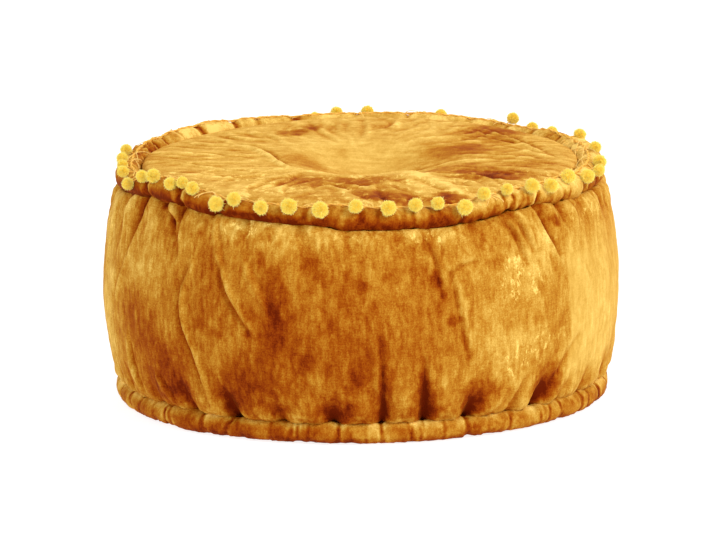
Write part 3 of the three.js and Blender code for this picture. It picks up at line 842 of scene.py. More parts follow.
def panelHeight(x, y):
    look = topPanel
    fromMiddle = np.hypot(x, y)
    share = np.clip(fromMiddle / look["radius"], 0, 1)
    angle = angleOf(np.stack([x, y], axis=-1))
    height = look["foot"] + look["rise"] * np.sqrt(1 - share ** look["squareness"])
    fromDip = np.hypot(x - look["dipX"], (y - look["dipY"]) * look["dipLength"]) / look["dipRadius"]
    height -= look["dipDepth"] * 0.5 * (1 + np.cos(math.pi * np.minimum(1, fromDip)))
    # the rim follows the roll's path, stands up against it, or drops to the seam
    height += look["follow"] * np.maximum(0, alongPath(angle, 1)) * share ** 5
    height += addBells(look["stands"], angle) * share ** 60
    for middle, width, start, depth in look["hollows"]:
        outward = ramp(fromMiddle, start, look["radius"] - start) ** 1.3 * np.clip((1 - share) / 0.02, 0, 1)
        height -= depth * bell(turnBetween(angle, middle), width) * outward
    inside = np.clip((1 - share) / 0.04, 0, 1)
    for middleX, middleY, width, rise in look["mounds"]:
        height += rise * bell(np.hypot(x - middleX, y - middleY), width) * inside
    troughs = np.zeros_like(x)
    for depth, width, ridge, points in look["creases"] + panelPulls():
        troughs += troughAlong(x, y, points, depth, width, ridge)
    return height - troughs * inside, troughs


def discFromGrid(name, look):
    # a square grid pressed into a round, so that its cells stay even
    deselectAll()
    radius = look["radius"]
    cells = look["grid"]
    bpy.ops.mesh.primitive_grid_add(x_subdivisions=cells, y_subdivisions=cells, size=2 * radius * mm)
    disc = takePrimitive(name)
    flat = readPoints(disc)
    u = flat[:, 0] / radius
    v = flat[:, 1] / radius
    flat[:, 0] = radius * u * np.sqrt(1 - v * v / 2)
    flat[:, 1] = radius * v * np.sqrt(1 - u * u / 2)
    writePoints(disc, flat)
    subdivideOnce(disc)
    return disc


def finishPanel(panel, look, node):
    addModifier(panel, "SOLIDIFY", thickness=look["thickness"] * mm, offset=-1)
    applyModifiers(panel)
    finishPiece(panel, panelVelvet, "velvet", node)


def makeTopPanel():
    look = topPanel
    panel = discFromGrid("topVelvetPanel", look)
    points = readPoints(panel)
    points[:, 2], troughs = panelHeight(points[:, 0], points[:, 1])
    # small creases run out from the dip to the rim, and wander as they go
    offX = points[:, 0] - look["dipX"]
    offY = points[:, 1] - look["dipY"]
    far = np.hypot(offX, offY)
    way = np.arctan2(offY, offX) + 0.07 * wobble(points, 45, 65) + 0.03 * wobble(points, 16, 66)
    drawn = np.stack([130 * np.cos(way), 130 * np.sin(way), far * 0.16], axis=-1)
    margin = 0.25 + 0.75 * ramp(far, 75, 60)
    small = (crinkle(drawn, 9, 61) + 0.55 * crinkle(drawn, 4.5, 64)) * margin + 0.25 * wobble(points, 5, 62)
    share = np.hypot(points[:, 0], points[:, 1]) / look["radius"]
    # the panel lies smoother on its left and behind its middle
    smooth = bell(np.hypot(points[:, 0], (points[:, 1] - 60) / 1.3), 90)
    crumpled = (0.3 + 0.33 * ramp(points[:, 0], -60, 140)) * (1 - 0.4 * smooth)
    points[:, 2] += crumpled * small * (share < 0.98)
    tuck = ramp(share, 0.965, 0.035) ** 2 * (1 - look["footRadius"] / look["radius"])
    points[:, :2] *= (1 - tuck)[:, None]
    writePoints(panel, points)
    onRight = ramp(points[:, 0], 40, 80)
    tone = patchTone(lambda x: points[:, 0] - x, points[:, 1], points, look["patches"], 70)
    tone = tone * (1 + 0.2 * onRight) + 0.03 * onRight
    # painted light on the raised crinkles and ridges, and painted shade in the creases
    tone += 0.26 * np.minimum(small, 0.6) - 0.25 * np.clip(troughs, -1.5, 4)
    setAttribute(panel, "pileToneLightAndShade", tone)
    setAttribute(panel, "pileLaid", 0.35 * smooth)
    setAttribute(panel, "pileCrush", 0.12 * margin + 0.5 * ramp(-points[:, 1], 40, 60))
    finishPanel(panel, look, "top_panel")
    return panel


topPanelPiece = makeTopPanel()


# Bottom panel: a flat round that the pouf stands on, with faint wrinkles that run to its rim

bottomPanel = {
    "grid": 60, "radius": 240, "thickness": 1.6, "wrinkles": 46, "wrinkleHeight": 0.35,
}


def makeBottomPanel():
    look = bottomPanel
    panel = discFromGrid("bottomVelvetPanel", look)
    points = readPoints(panel)
    share = np.hypot(points[:, 0], points[:, 1]) / look["radius"]
    ripple = np.sin(np.radians(angleOf(points) * look["wrinkles"]) + 2.5 * wobble(points, 60, 81))
    points[:, 2] = look["thickness"] + look["wrinkleHeight"] * (1 + ripple * ramp(share, 0.45, 0.5))
    writePoints(panel, points)
    # the ripple's crests are painted lighter and its troughs darker, as painted light and shade
    setAttribute(panel, "pileToneLightAndShade", 0.6 * wobble(points, 45, 82) + 0.2 * ripple * share)
    finishPanel(panel, look, "bottom_panel")


makeBottomPanel()


# Body: the gathered side band, filled, with its crown under the top panel

sideBand = {
    "columns": 360, "rings": 69, "bellyRadius": 275.4, "bellyHeight": 124, "drawIn": 0.00132,
    "turnIn": 5.0, "turnReach": 3.6, "rollGap": 0.8, "panelGap": 3.2,
    # rings of the mesh: radii under the body, the turns round each roll at which it lies against the
    # roll, and the shares of the crown's radius
    "underRadii": (0, 80, 150, 205, 236), "underHeight": 3.0, "bottomTurns": (172, 145, 118, 90, 62),
    "topTurns": (-68, -95, -122, -148), "shoulder": (229.0, 236.0), "crownRadius": 228.0,
    "crownShares": (0.99, 0.965, 0.92, 0.84, 0.7, 0.52, 0.34, 0.17, 0),
}
# the band is cut wider than it is sewn; pressedAgain is the part of the gathers that the settling cloth
# smooths away and that is pressed in afterwards
bandCloth = {
    "quality": 5, "mass": 0.35, "airDamping": 1.0, "tension": 20, "compression": 20, "shear": 6,
    "bending": 0.4, "pressure": 3.0, "frames": 20, "cap": 14, "cutRadius": 279, "cutHeightShare": 1.01,
    "pressedAgain": 0.45,
}

# Gathers start at a seam and die out: seam, angle, depth, width, reach, and the lean, which is how far
# they drift to the right on the way, in millimetres.
gathers = [
    ("bottom", -75, 4, 9, 60, -6), ("bottom", -68, 6, 6, 45, -8), ("bottom", -55, 5, 7, 50, -14),
    ("bottom", -43, 6, 7, 55, -16), ("bottom", -31, 12, 8, 50, -14), ("bottom", -19, 8, 6, 30, -3),
    ("bottom", -7, 11, 7, 32, 3), ("bottom", 4.5, 10, 6, 48, 2), ("bottom", 14.5, 11, 6, 66, 2),
    ("bottom", 25, 12, 7, 36, 8), ("bottom", 36, 5, 6, 40, 10), ("bottom", 44, 12, 9, 58, 16),
    ("bottom", 52, 5, 6, 40, 14), ("bottom", 62, 6, 7, 40, 10), ("bottom", 74, 6, 8, 45, 4),
    ("top", -72, 5, 8, 80, -6), ("top", -62, 8, 9, 70, -9), ("top", -54, 5, 6, 40, 12),
    ("top", -46, 8, 6, 36, -16), ("top", -37, 3, 5, 30, -4), ("top", -27, 3, 8, 50, 0),
    ("top", -14, 3, 6, 40, 2), ("top", -3, 3, 6, 30, 0), ("top", 9, 3, 7, 40, 4),
    ("top", 16, 4, 7, 50, 16), ("top", 27, 4, 7, 40, 8), ("top", 37, 3, 7, 60, 18),
    ("top", 46, 5, 7, 50, 20), ("top", 54, 7, 6, 30, 6), ("top", 63, 5, 7, 36, 10),
    ("top", 76, 5, 8, 50, 4),
]
backGathers = {
    "from": 82.0, "to": 278, "every": (9, 17), "strength": {"bottom": 1.0, "top": 0.7},
    "depth": (4, 11), "width": (5.5, 9), "reach": (28, 70), "lean": 12, "seed": 11,
}
# The small gathers that the seam stitches draw in, a few millimetres apart
seamGathers = {
    "every": (1.1, 3.4), "depth": (0.5, 1.7), "reach": (9, 26), "lean": (-5, 5), "width": (1.8, 3.2),
    "seed": 23,
}

# Long creases: depth, width, the ridge beside it, and its points as (angle, height) from end to end
creases = [
    (4.2, 3.4, -2.4, [(-69, 240), (-70, 225), (-70, 212), (-71, 190)]),
    (4.2, 3.4, -2.6, [(-61, 244), (-62, 229), (-63.5, 214), (-66, 180)]),
    (4.6, 3.0, -2.2, [(-53, 242), (-51, 232), (-49, 223), (-47.5, 208)]),
    (2.6, 2.4, -2.0, [(-47, 240), (-47, 226), (-46.5, 212), (-46, 190)]),
    (1.8, 3, -1.6, [(-66, 180), (-71, 140), (-74, 110)]),
    (2.2, 3, 1.4, [(-75, 236), (-77, 200), (-79, 150)]),
    (3.4, 2.6, -3.0, [(-42, 184), (-45, 152), (-44.5, 122), (-41.5, 94), (-39.5, 64), (-37.5, 34)]),
    (3.4, 2.2, -2.0, [(-34, 190), (-32, 160), (-28, 134), (-25.5, 120)]),
    (1.3, 3, 1.2, [(-35, 230), (-33, 205), (-32, 183)]),
    (3.0, 2.8, 2.8, [(-64, 86), (-63.5, 56), (-61, 33)]),
    (2.2, 2.8, 1.6, [(-53, 60), (-50, 44), (-48, 32)]),
    (1.2, 3, 1.0, [(-26, 196), (-23, 170), (-19, 140)]),
    (3.4, 2.6, 1.4, [(13.5, 230), (15.5, 212), (17, 194), (18, 158)]),
    (2.4, 2.4, -1.8, [(20, 182), (21, 161), (22, 131), (24, 90)]),
    (1.8, 2.4, -1.4, [(20, 178), (22, 187), (27, 191)]),
    (3.0, 2.6, -2.8, [(35, 236), (37, 220), (38.5, 200), (40, 180)]),
    (2.4, 2.4, -2.4, [(38.5, 232), (40.5, 212), (42.5, 190)]),
    (4.4, 2.6, 3.4, [(45.5, 240), (47, 214), (49, 199), (51, 182)]),
    (2.2, 3, 1.2, [(58, 236), (60, 226), (61.5, 214)]),
    (2.2, 3, 1.2, [(70, 236), (72, 222), (72, 205)]),
    (3.0, 2.8, 1.6, [(4, 118), (4.5, 72), (5, 28)]),
    (3.2, 2.8, -1.6, [(14, 92), (14.2, 60), (14, 28)]),
    (2.6, 2.8, 1.6, [(39, 56), (38, 44), (37, 30)]),
    (2.4, 4, 1.4, [(57, 92), (52, 70), (47, 40)]),
    (4.0, 6, 1.2, [(100, 210), (104, 150), (101, 110)]),
    (4.5, 6, 1.4, [(138, 220), (141, 170), (137, 120)]),
    (4.5, 6, 1.4, [(-160, 90), (-164, 60), (-167, 30)]),
    (4.5, 6, 1.6, [(-128, 226), (-124, 180), (-127, 130)]),
    (3.5, 6, 1.2, [(176, 200), (171, 150), (174, 110)]),
]

# Places where the pile is crushed into bright specks: angle, height, half width, half height, strength
crushedPlaces = [
    (36, 168, 16, 22, 1.25), (42, 158, 12, 16, 0.9), (-28, 226, 34, 12, 0.8), (15, 224, 40, 10, 0.7),
    (-5, 228, 30, 8, 0.6), (38, 80, 22, 12, 0.9), (45, 95, 16, 12, 0.6), (64, 225, 40, 14, 0.5),
    (110, 140, 40, 60, 0.7), (-140, 150, 50, 50, 0.6), (170, 90, 40, 40, 0.8),
]

# Tone patches on the band: angle, height, half width, half height, tone; some rows paint shade into folds and
# light onto their ridges, the rest are the pile's own patches
bandPatches = [
    (-80, 132, 36, 110, 0.42), (-70, 222, 4, 14, -0.60), (-63, 226, 4, 10, -0.40),
    (-66.5, 228, 5, 12, 0.25), (-57, 220, 9, 12, 0.20), (-53, 237, 4, 4, -0.70),
    (-49, 223, 3, 4, -0.70), (-59, 114, 28, 32, -0.48), (-51, 66, 30, 38, -0.46),
    (-48, 42, 34, 12, -0.38), (-37, 117, 16, 9, -0.32), (-36, 158, 18, 36, -0.20),
    (-28, 228, 32, 12, 0.45), (-23, 195, 7, 6, -0.35), (-25.5, 121, 5, 6, -0.60),
    (-19, 150, 11, 40, -0.55), (-29, 105, 20, 12, 0.15), (-26, 57, 38, 30, -0.46),
    (-14, 226, 38, 12, 0.33), (-12, 194, 5, 6, -0.35), (-12, 91, 8, 10, -0.36), (-12, 70, 10, 24, 0.10),
    (-5, 36, 20, 14, -0.40), (-10, 187, 10, 18, -0.20), (-4, 153, 10, 16, -0.20), (0, 174, 5, 6, -0.35),
    (-1, 227, 15, 12, 0.28), (15, 226, 31, 10, 0.35), (-1, 68, 9, 20, -0.32), (4.5, 56, 4, 28, -0.35),
    (9.5, 70, 8, 28, 0.10), (14, 56, 5, 28, -0.40), (17, 40, 14, 14, -0.32), (16.5, 176, 6, 8, -0.65),
    (15, 212, 3, 14, -0.40), (17.5, 150, 5, 12, -0.35), (21, 131, 8, 8, -0.45),
    (23.5, 102, 4, 16, -0.30), (27, 44, 20, 22, -0.45), (40, 172, 26, 26, 0.30), (46, 196, 7, 24, 0.40),
    (37, 205, 3, 22, 0.20), (50.5, 222, 8, 5, -0.70), (47.5, 229, 3, 4, -0.50), (48, 43, 15, 17, -0.75),
    (38, 80, 26, 26, 0.20), (32, 110, 36, 50, 0.16), (61, 135, 62, 100, 0.18), (83, 135, 40, 115, 0.12),
    (70, 60, 30, 40, 0.10), (0, 31, 105, 9, -0.34), (0, 118, 92, 86, -0.40), (38, 60, 50, 30, -0.10),
    (-34, 118, 84, 90, -0.22), (-62, 180, 40, 40, 0.11), (-20, 60, 190, 55, -0.20),
    (100, 150, 70, 80, 0.14), (135, 90, 50, 60, -0.35), (160, 180, 50, 40, 0.24),
    (-165, 80, 60, 50, -0.35), (-130, 160, 50, 60, 0.14), (-105, 70, 50, 40, -0.27),
    (180, 120, 40, 70, -0.16),
]
# On the right the pile lies the other way, past a straight edge that runs down the band
turnedPile = {"from": 52.5, "to": 96, "low": 32, "high": 206, "tone": 0.36, "edge": 5, "fade": 34}


def allGathers():
    rows = list(gathers)
    rule = backGathers
    chance = random.Random(rule["seed"])
    for seam, strength in rule["strength"].items():
        angle = rule["from"]
        while angle < rule["to"]:
            depth = chance.uniform(*rule["depth"]) * strength
            width = chance.uniform(*rule["width"])
            reach = chance.uniform(*rule["reach"])
            rows.append((seam, angle, depth, width, reach, chance.uniform(-1, 1) * rule["lean"]))
            angle += chance.uniform(*rule["every"])
    return rows


def fromSeam(seam, height, low, high):
    return height - low if seam == "bottom" else high - height


def gatherDepth(angle, height, low, high):
    total = np.zeros_like(angle)
    for seam, middle, depth, width, reach, lean in allGathers():
        along = np.clip(fromSeam(seam, height, low, high) / reach, 0, 1)
        fade = (1 - along) ** 1.4 * (1 + 0.6 * along)
        across = arcFrom(middle, angle, sideBand["bellyRadius"]) - lean * along
        wide = width * (0.8 + 1.2 * along)
        beside = bell(across - 2.6 * wide, 1.5 * wide) + bell(across + 2.6 * wide, 1.5 * wide)
        total += depth * fade * (np.exp(-np.abs(across / wide) ** 1.25) - 0.22 * beside)
    return total


def seamPuckers(angle, height, low, high):
    rule = seamGathers
    total = np.zeros_like(angle)
    chance = random.Random(rule["seed"])
    drawn = ("depth", "reach", "lean", "width")
    for seam in ("bottom", "top"):
        away = fromSeam(seam, height, low, high)
        middle = 0.0
        while middle < 360:
            depth, reach, lean, width = [chance.uniform(*rule[part]) for part in drawn]
            near = away < reach
            along = away[near] / reach
            across = arcFrom(middle, angle[near], sideBand["bellyRadius"]) - lean * along
            total[near] += depth * (1 - along) ** 1.5 * np.exp(-np.abs(across / width) ** 1.4)
            middle += chance.uniform(*rule["every"])
    return total


def bandCreases(angle, height):
    radius = sideBand["bellyRadius"]
    total = np.zeros_like(angle)
    for depth, width, ridge, points in creases:
        middle = sum(place[0] for place in points) / len(points)
        chain = [(arcFrom(middle, pointAngle, radius), pointHeight) for pointAngle, pointHeight in points]
        total += troughAlong(arcFrom(middle, angle, radius), height, chain, depth, width, ridge)
    return total


def bandRadius(angle, height):
    look = sideBand
    swell = look["bellyRadius"] - look["drawIn"] * (height - look["bellyHeight"]) ** 2
    turned = np.exp(-(topSeam(angle) - height) / look["turnReach"])
    turned += 1.7 * np.exp(-(height - seams["bottomHeight"]) / look["turnReach"])
    return swell - look["turnIn"] * turned


def castDown(tree, angle, radius):
    # how high the piece's upper side lies at each angle
    heights = []
    for x, y, _ in placeAt(angle, radius, 0) * mm:
        heights.append(tree.ray_cast(Vector((x, y, 0.4)), Vector((0, 0, -1)))[0].z / mm)
    return np.array(heights)


def treeOf(piece):
    return BVHTree.FromObject(piece, bpy.context.evaluated_depsgraph_get())


def bodyProfile(angle):
    # from the pole under the body to the pole under the panel; a row is (radii, heights) for all the columns
    look = sideBand
    one = np.ones_like(angle)
    rows = [(radius * one, look["underHeight"] * one) for radius in look["underRadii"]]
    rows += [besideRoll(angle, turn, bottomRoll, look["rollGap"]) for turn in look["bottomTurns"]]
    low = seams["bottomHeight"] * one
    high = topSeam(angle)
    bandRows = look["rings"] - len(rows) - len(look["topTurns"]) - len(look["crownShares"])
    for share in np.arange(bandRows) / (bandRows - 1):
        height = low + (high - low) * (share - 0.055 * math.sin(2 * math.pi * share))
        rows.append((bandRadius(angle, height), height))
    rows += [besideRoll(angle, turn, topRoll, look["rollGap"]) for turn in look["topTurns"]]
    rows.append(tuple(value * one for value in look["shoulder"]))
    panelTree = treeOf(topPanelPiece)
    for share in look["crownShares"]:
        radius = look["crownRadius"] * share * one
        rows.append((radius, castDown(panelTree, angle, radius) - look["panelGap"]))
    return rows


def foldBand(angle, height, fold):
    # runs a function that gives a depth on the points of the band alone
    high = topSeam(angle)
    onBand = (height >= seams["bottomHeight"] - 0.5) & (height <= high + 0.5)
    depth = np.zeros_like(angle)
    depth[onBand] = fold(angle[onBand], height[onBand], seams["bottomHeight"], high[onBand])
    return depth, onBand


def makeBody():
    # a sphere with a ring for each row of the profile
    look = sideBand
    deselectAll()
    bpy.ops.mesh.primitive_uv_sphere_add(segments=look["columns"], ring_count=look["rings"], radius=300 * mm)
    body = takePrimitive("filledBody")
    start = readPoints(body)
    sunk = np.arccos(np.clip(start[:, 2] / 300, -1, 1)) / math.pi
    ring = np.round((1 - sunk) * look["rings"]).astype(int)
    step = 360 / look["columns"]
    column = np.round(angleOf(start) / step).astype(int) % look["columns"]
    columnAngles = np.arange(look["columns"]) * step
    radii, heights = zip(*bodyProfile(columnAngles))
    angle = columnAngles[column]
    radius = np.array(radii)[ring, column]
    height = np.array(heights)[ring, column]
    depth, onBand = foldBand(angle, height, gatherDepth)
    onBand &= radius > look["bellyRadius"] - 30
    writePoints(body, placeAt(angle, radius - np.where(onBand, depth, 0), height))
    belly = look["bellyHeight"]
    cutHeight = belly + bandCloth["cutHeightShare"] * (height - belly)
    cutRadius = np.where(onBand, bandCloth["cutRadius"], radius)
    bandRings = np.unique(ring[onBand])
    pinned = ~onBand | (ring == bandRings[0]) | (ring == bandRings[-1])
    settleCloth(body, bandCloth, pinned, placeAt(angle, cutRadius, np.where(onBand, cutHeight, height)))
    subdivideOnce(body)
    pressFineFolds(body)
    finishPiece(body, bandVelvet, "velvet", "side_band")


def fineFolds(angle, height, low, high):
    folds = bandCloth["pressedAgain"] * gatherDepth(angle, height, low, high)
    return folds + 1.25 * bandCreases(angle, height) + seamPuckers(angle, height, low, high)


def pileTurned(angle, height, points):
    look = turnedPile
    radius = sideBand["bellyRadius"]
    wander = 3.5 * wobble(points, 30, 97) + 1.5 * wobble(points, 7, 98)
    inside = ramp(arcFrom(look["from"], angle, radius) + wander, 0, look["edge"])
    inside *= ramp(arcFrom(angle, look["to"], radius), 0, look["fade"])
    return inside * ramp(height, look["low"], look["fade"]) * ramp(-height, -look["high"], look["fade"])


def pressFineFolds(body):
    points = readPoints(body)
    angle = angleOf(points)
    height = points[:, 2].copy()
    radius = np.hypot(points[:, 0], points[:, 1])
    depth, onBand = foldBand(angle, height, fineFolds)
    onBand &= radius > sideBand["bellyRadius"] - 34
    depth = np.where(onBand, depth, 0)
    # crinkles drawn out up and down the band, deepest beside the seams
    nearSeam = np.exp(-(height - seams["bottomHeight"]) / 30) + np.exp(-(topMiddle(angle) - height) / 35)
    drawn = points * np.array([1, 1, 0.3])
    crinkled = 0.5 * crinkle(drawn, 12, 90) + (0.3 + 0.9 * nearSeam) * crinkle(drawn, 6, 92)
    depth -= np.where(onBand, crinkled + 1.2 * wobble(points * np.array([1, 1, 0.5]), 34, 91), 0)
    writePoints(body, placeAt(angle, radius - depth, height))

    def across(middle):
        return arcFrom(middle, angle, radius)

    tone = patchTone(across, height, points, bandPatches, 95)
    # the patches stand out more a little to the right of the middle
    deeper = bell(turnBetween(angle, 22), 14)
    tone = tone * (1 + 0.33 * deeper) + 0.08 * deeper
    turned = pileTurned(angle, height, points)
    gathered, _ = foldBand(angle, height, gatherDepth)
    # the turned pile is the cloth's own; the raised crinkles are painted lighter, and painted shade lies in
    # the folds, creases and gathers
    tone += turnedPile["tone"] * turned + 0.14 * np.clip(crinkled, -0.6, 0.6)
    tone -= 0.13 * np.clip(depth, -2.6, 5) + 0.08 * np.clip(gathered, -2, 9)
    setAttribute(body, "pileToneLightAndShade", np.where(onBand, tone, -0.6))
    setAttribute(body, "pileLaid", 0.5 * turned)
    setAttribute(body, "pileCrush", patchTone(across, height, points, crushedPlaces, 99))


makeBody()


# Pompom trim: a twisted cord couched along the top roll, with a fuzzy ball of yarn every few centimetres

trimCord = {
    "ring": 247.6, "wander": 0.5,
    # angle and how far in from its usual line the cord lies there
    "insets": [
        (-115, 0), (-100, 4.6), (-78, 3.4), (-66, 0.5), (-56, 2), (-50, 4.6), (-42, 4), (-34, 0.5),
        (6, 0.5), (12, 3.6), (32, 3.6), (42, 1.5), (78, 0.5), (90, 4.6), (116, 4.6), (124, 0), (135, 3),
        (144, 3), (152, 0),
    ],
    "plyRadius": 0.85, "plyOffset": 0.7, "pitch": 8.0, "segments": 1080, "sides": 6, "sink": 0.3,
    "stitchEvery": 3.4, "stitchRadius": 1.8, "stitchThread": 0.3, "stitchSink": 0.4, "stitchSeed": 77,
    "threadRadius": 0.42, "threadLift": 0.5, "neckRadius": 0.55,
}
# Loose ends of thread: the angle where each leaves the cord, the angle and the turn round the roll where
# it ends, and how high it arches. The others are strewn all round.
looseThreads = {
    "rows": [
        (31, 34, 40, 4), (32, 35.5, 20, 5), (33, 36, 55, 3), (29, 32.5, 60, 4), (35, 31, 25, 4),
        (-51, -46, 70, 4), (-56, -52, 150, 5), (-55, -48, 140, 4), (-40, -36, 60, 4), (-38, -41, 40, 5),
        (-33, -29, 120, 3), (-14, -10, 110, 3), (40, 45, 120, 3), (52, 57, 130, 4), (60, 66, 140, 4),
        (64, 70, 120, 5), (70, 79, 150, 4), (74, 83, 130, 5), (82, 90, 160, 4), (86, 79, 140, 5),
        (92, 101, 150, 5), (97, 88, 130, 5), (104, 96, 150, 4), (103, 112, 140, 5), (-88, -96, 150, 5),
        (-94, -86, 140, 4), (-100, -92, 130, 5), (-97, -106, 150, 5),
    ],
    "others": {"count": 26, "seed": 19},
}
pompoms = {
    "count": 50, "variants": 5, "radius": 6.4, "tuft": 1.8, "tuftSpread": 0.8, "sideways": 0.7,
    "strays": 70, "strayLength": (0.4, 1.4), "frayLength": (1.0, 3.4), "seed": 300,
    # balls with long loose ends, as pieces of yarn pulled out of them: number and how many
    "frayed": {
        1: 60, 2: 60, 3: 40, 4: 24, 7: 14, 10: 26, 11: 36, 12: 14, 20: 16, 26: 14, 27: 24, 28: 36,
        29: 40, 30: 20, 35: 14,
    },
}


def layCord():
    look = trimCord
    marks = np.arange(0, 360, 0.5)
    ring = look["ring"] - np.interp(turnBetween(marks, 0), *zip(*look["insets"]))
    ring += look["wander"] * (np.sin(np.radians(marks * 13)) + 0.7 * np.sin(np.radians(marks * 29 + 40)))
    heights = castDown(treeOf(topRollPiece), marks, ring)
    # the cord lies on the roll's top, where it bridges the narrowest dents and follows the rest
    bridged = np.max([np.roll(heights, shift) for shift in (-1, 0, 1)], axis=0)
    smooth = np.mean([np.roll(bridged, shift) for shift in range(-2, 3)], axis=0)
    return marks, ring, smooth + look["plyOffset"] - look["sink"]


cordLine = layCord()


def cordPath(angles):
    marks, ring, height = cordLine
    turned = np.asarray(angles) % 360
    return np.interp(turned, marks, ring, period=360), np.interp(turned, marks, height, period=360)


def onCord(angle, sink=0.0):
    ring, height = cordPath([angle])
    return spotAt(angle, ring, height - sink)


def onTopRoll(angle, turn):
    # a place just over the roll's skin
    return spotAt(angle, *besideRoll(np.array([float(angle)]), turn, topRoll, trimCord["threadLift"]))


def joinPieces(name, pieces):
    deselectAll()
    for piece in pieces:
        piece.select_set(True)
    bpy.context.view_layer.objects.active = pieces[0]
    bpy.ops.object.join()
    return takePrimitive(name)


def makePly(number):
    look = trimCord
    ply = addTorus("cordPly", look["segments"], look["sides"], look["ring"], look["plyRadius"])
    start = readPoints(ply)
    angle = angleOf(start)
    out = np.hypot(start[:, 0], start[:, 1]) - look["ring"]
    up = start[:, 2]
    ring, height = cordPath(angle)
    turns = round(2 * math.pi * look["ring"] / look["pitch"])
    twist = np.radians(angle * turns) + math.pi * number
    offset = look["plyOffset"]
    points = placeAt(angle, ring + out + offset * np.cos(twist), height + up + offset * np.sin(twist))
    writePoints(ply, points)
    # the side of each ply that faces out is painted paler, and the side in the groove between the plies gets
    # painted shade
    outside = (out * np.cos(twist) + up * np.sin(twist)) / look["plyRadius"]
    setAttribute(ply, "fibreDepthShade", 0.5 + 0.35 * outside)
    return ply


def placeCopy(template, name, place, scale, turn):
    copy = template.copy()
    copy.data = template.data.copy()
    copy.name = name
    copy.data.name = name
    bpy.context.scene.collection.objects.link(copy)
    copy.data.transform(Matrix.Translation(place) @ turn @ Matrix.Scale(scale, 4))
    return copy


def makeThread(start, end, arch):
    # a loose end of thread, from the cord to a place on the roll
    deselectAll()
    bpy.ops.curve.primitive_bezier_curve_add()
    thread = takePrimitive("looseThread")
    rise = Vector((0, 0, arch * mm))
    for knot, place in zip(thread.data.splines[0].bezier_points, (start, end)):
        knot.handle_left_type = "FREE"
        knot.handle_right_type = "FREE"
        knot.co = place
        knot.handle_left = place + rise
        knot.handle_right = place + rise
    thread.data.resolution_u = 10
    thread.data.bevel_depth = trimCord["threadRadius"] * mm
    thread.data.bevel_resolution = 0
    bpy.ops.object.convert(target="MESH")
    setAttribute(thread, "fibreDepthShade", 0.9)
    return thread


def makeThreads():
    rows = list(looseThreads["rows"])
    rule = looseThreads["others"]
    chance = random.Random(rule["seed"])
    for _ in range(rule["count"]):
        angle = chance.uniform(0, 360)
        rows.append((angle, angle + chance.uniform(-5, 5), chance.uniform(30, 150), chance.uniform(2, 5)))
    return [makeThread(onCord(start), onTopRoll(end, turn), arch) for start, end, turn, arch in rows]


def makeStitches():
    # couching stitches: small loops of thread over the cord, each leaning its own way
    look = trimCord
    loop = addTorus("couchingStitch", 10, 4, look["stitchRadius"], look["stitchThread"], tilt=90)
    bpy.ops.object.transform_apply(location=False, rotation=True, scale=False)
    setAttribute(loop, "fibreDepthShade", 0.75)
    chance = random.Random(look["stitchSeed"])
    stitches = []
    angle = 0.0
    while angle < 360 - look["stitchEvery"] * 0.5:
        lean = Matrix.Rotation(math.radians(angle - 90 + chance.uniform(-22, 22)), 4, "Z")
        place = onCord(angle, look["stitchSink"])
        stitches.append(placeCopy(loop, "stitch", place, chance.uniform(0.9, 1.1), lean))
        angle += look["stitchEvery"] * chance.uniform(0.7, 1.3)
    bpy.data.objects.remove(loop)
    return stitches


def ballPlace(number):
    low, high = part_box(f"pompom_{number:02d}")
    middle = Vector([(a + b) / 2 for a, b in zip(low, high)])
    return middle, sum(b - a for a, b in zip(low, high)) / 6 / mm


def makeNeck(number):
    # a short neck of thread holds each ball to the cord
    middle, _ = ballPlace(number)
    knot = onCord(math.degrees(math.atan2(middle.x, -middle.y)))
    way = middle - knot
    deselectAll()
    bpy.ops.mesh.primitive_cylinder_add(vertices=8, radius=trimCord["neckRadius"] * mm, depth=way.length)
    neck = takePrimitive("ballNeck")
    turned = way.to_track_quat("Z", "Y").to_matrix().to_4x4()
    neck.data.transform(Matrix.Translation((middle + knot) / 2) @ turned)
    setAttribute(neck, "fibreDepthShade", 0.6)
    return neck


def makeCord():
    parts = [makePly(0), makePly(1)] + makeStitches() + makeThreads()
    parts += [makeNeck(number) for number in range(1, pompoms["count"] + 1)]
    finishPiece(joinPieces("twistedTrimCord", parts), cordYarn, "trim_cord", "pompom_cord")


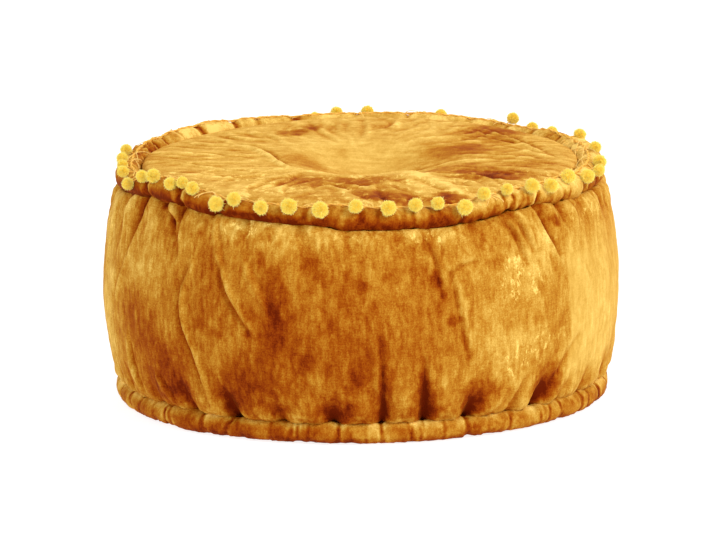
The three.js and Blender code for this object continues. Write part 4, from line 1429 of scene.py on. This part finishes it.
def makeBall(variant, strays, strayLength):
    # a ball of cut yarn: every face of an ico sphere is poked out into a tuft
    look = pompoms
    chance = random.Random(look["seed"] + variant)
    deselectAll()
    bpy.ops.mesh.primitive_ico_sphere_add(subdivisions=4, radius=look["radius"] * mm)
    ball = takePrimitive("yarnBall")
    bpy.ops.object.mode_set(mode="EDIT")
    bpy.ops.mesh.select_all(action="SELECT")
    bpy.ops.mesh.poke(offset=look["tuft"] * mm, center_mode="MEDIAN")
    bpy.ops.object.mode_set(mode="OBJECT")
    points = readPoints(ball)
    swell = 1 + 0.09 * wobble(points, 6, variant * 10) + 0.05 * wobble(points, 3, variant * 10 + 5)
    length = np.linalg.norm(points, axis=1)
    isTip = length > look["radius"] + look["tuft"] * 0.4
    # tips painted paler, and the roots between them painted with shade
    depth = np.where(isTip, 0.85, 0.3)
    tips = list(np.flatnonzero(isTip))
    for i in tips:
        out = points[i] / length[i]
        reach = look["tuft"] * chance.uniform(-look["tuftSpread"], look["tuftSpread"])
        points[i] += out * reach + np.array(anyWay(chance)) * look["sideways"]
        depth[i] += chance.uniform(-0.22, 0.2)
    for i in chance.sample(tips, strays):
        out = points[i] / length[i]
        lean = np.array(anyWay(chance))
        points[i] += (out + 0.5 * lean) * chance.uniform(*strayLength)
    writePoints(ball, points * swell[:, None])
    setAttribute(ball, "fibreDepthShade", depth)
    return ball


def makePompoms():
    look = pompoms
    chance = random.Random(look["seed"])
    balls = [makeBall(variant, look["strays"], look["strayLength"]) for variant in range(look["variants"])]
    for number in range(1, look["count"] + 1):
        middle, radius = ballPlace(number)
        frayed = look["frayed"].get(number)
        template = balls[number % look["variants"]]
        if frayed:
            template = makeBall(50 + number, frayed, look["frayLength"])
        turn = Matrix.Rotation(chance.uniform(0, 6.28), 4, Vector(anyWay(chance)))
        scale = radius / (look["radius"] + 0.95 * look["tuft"])
        pompom = placeCopy(template, f"yarnPompom{number:02d}", middle, scale, turn)
        dressPiece(pompom, pompomYarn, "pompom_yarn", f"pompom_{number:02d}")
        if frayed:
            bpy.data.objects.remove(template)
    for ball in balls:
        bpy.data.objects.remove(ball)
    print("pompoms made")


makeCord()
makePompoms()
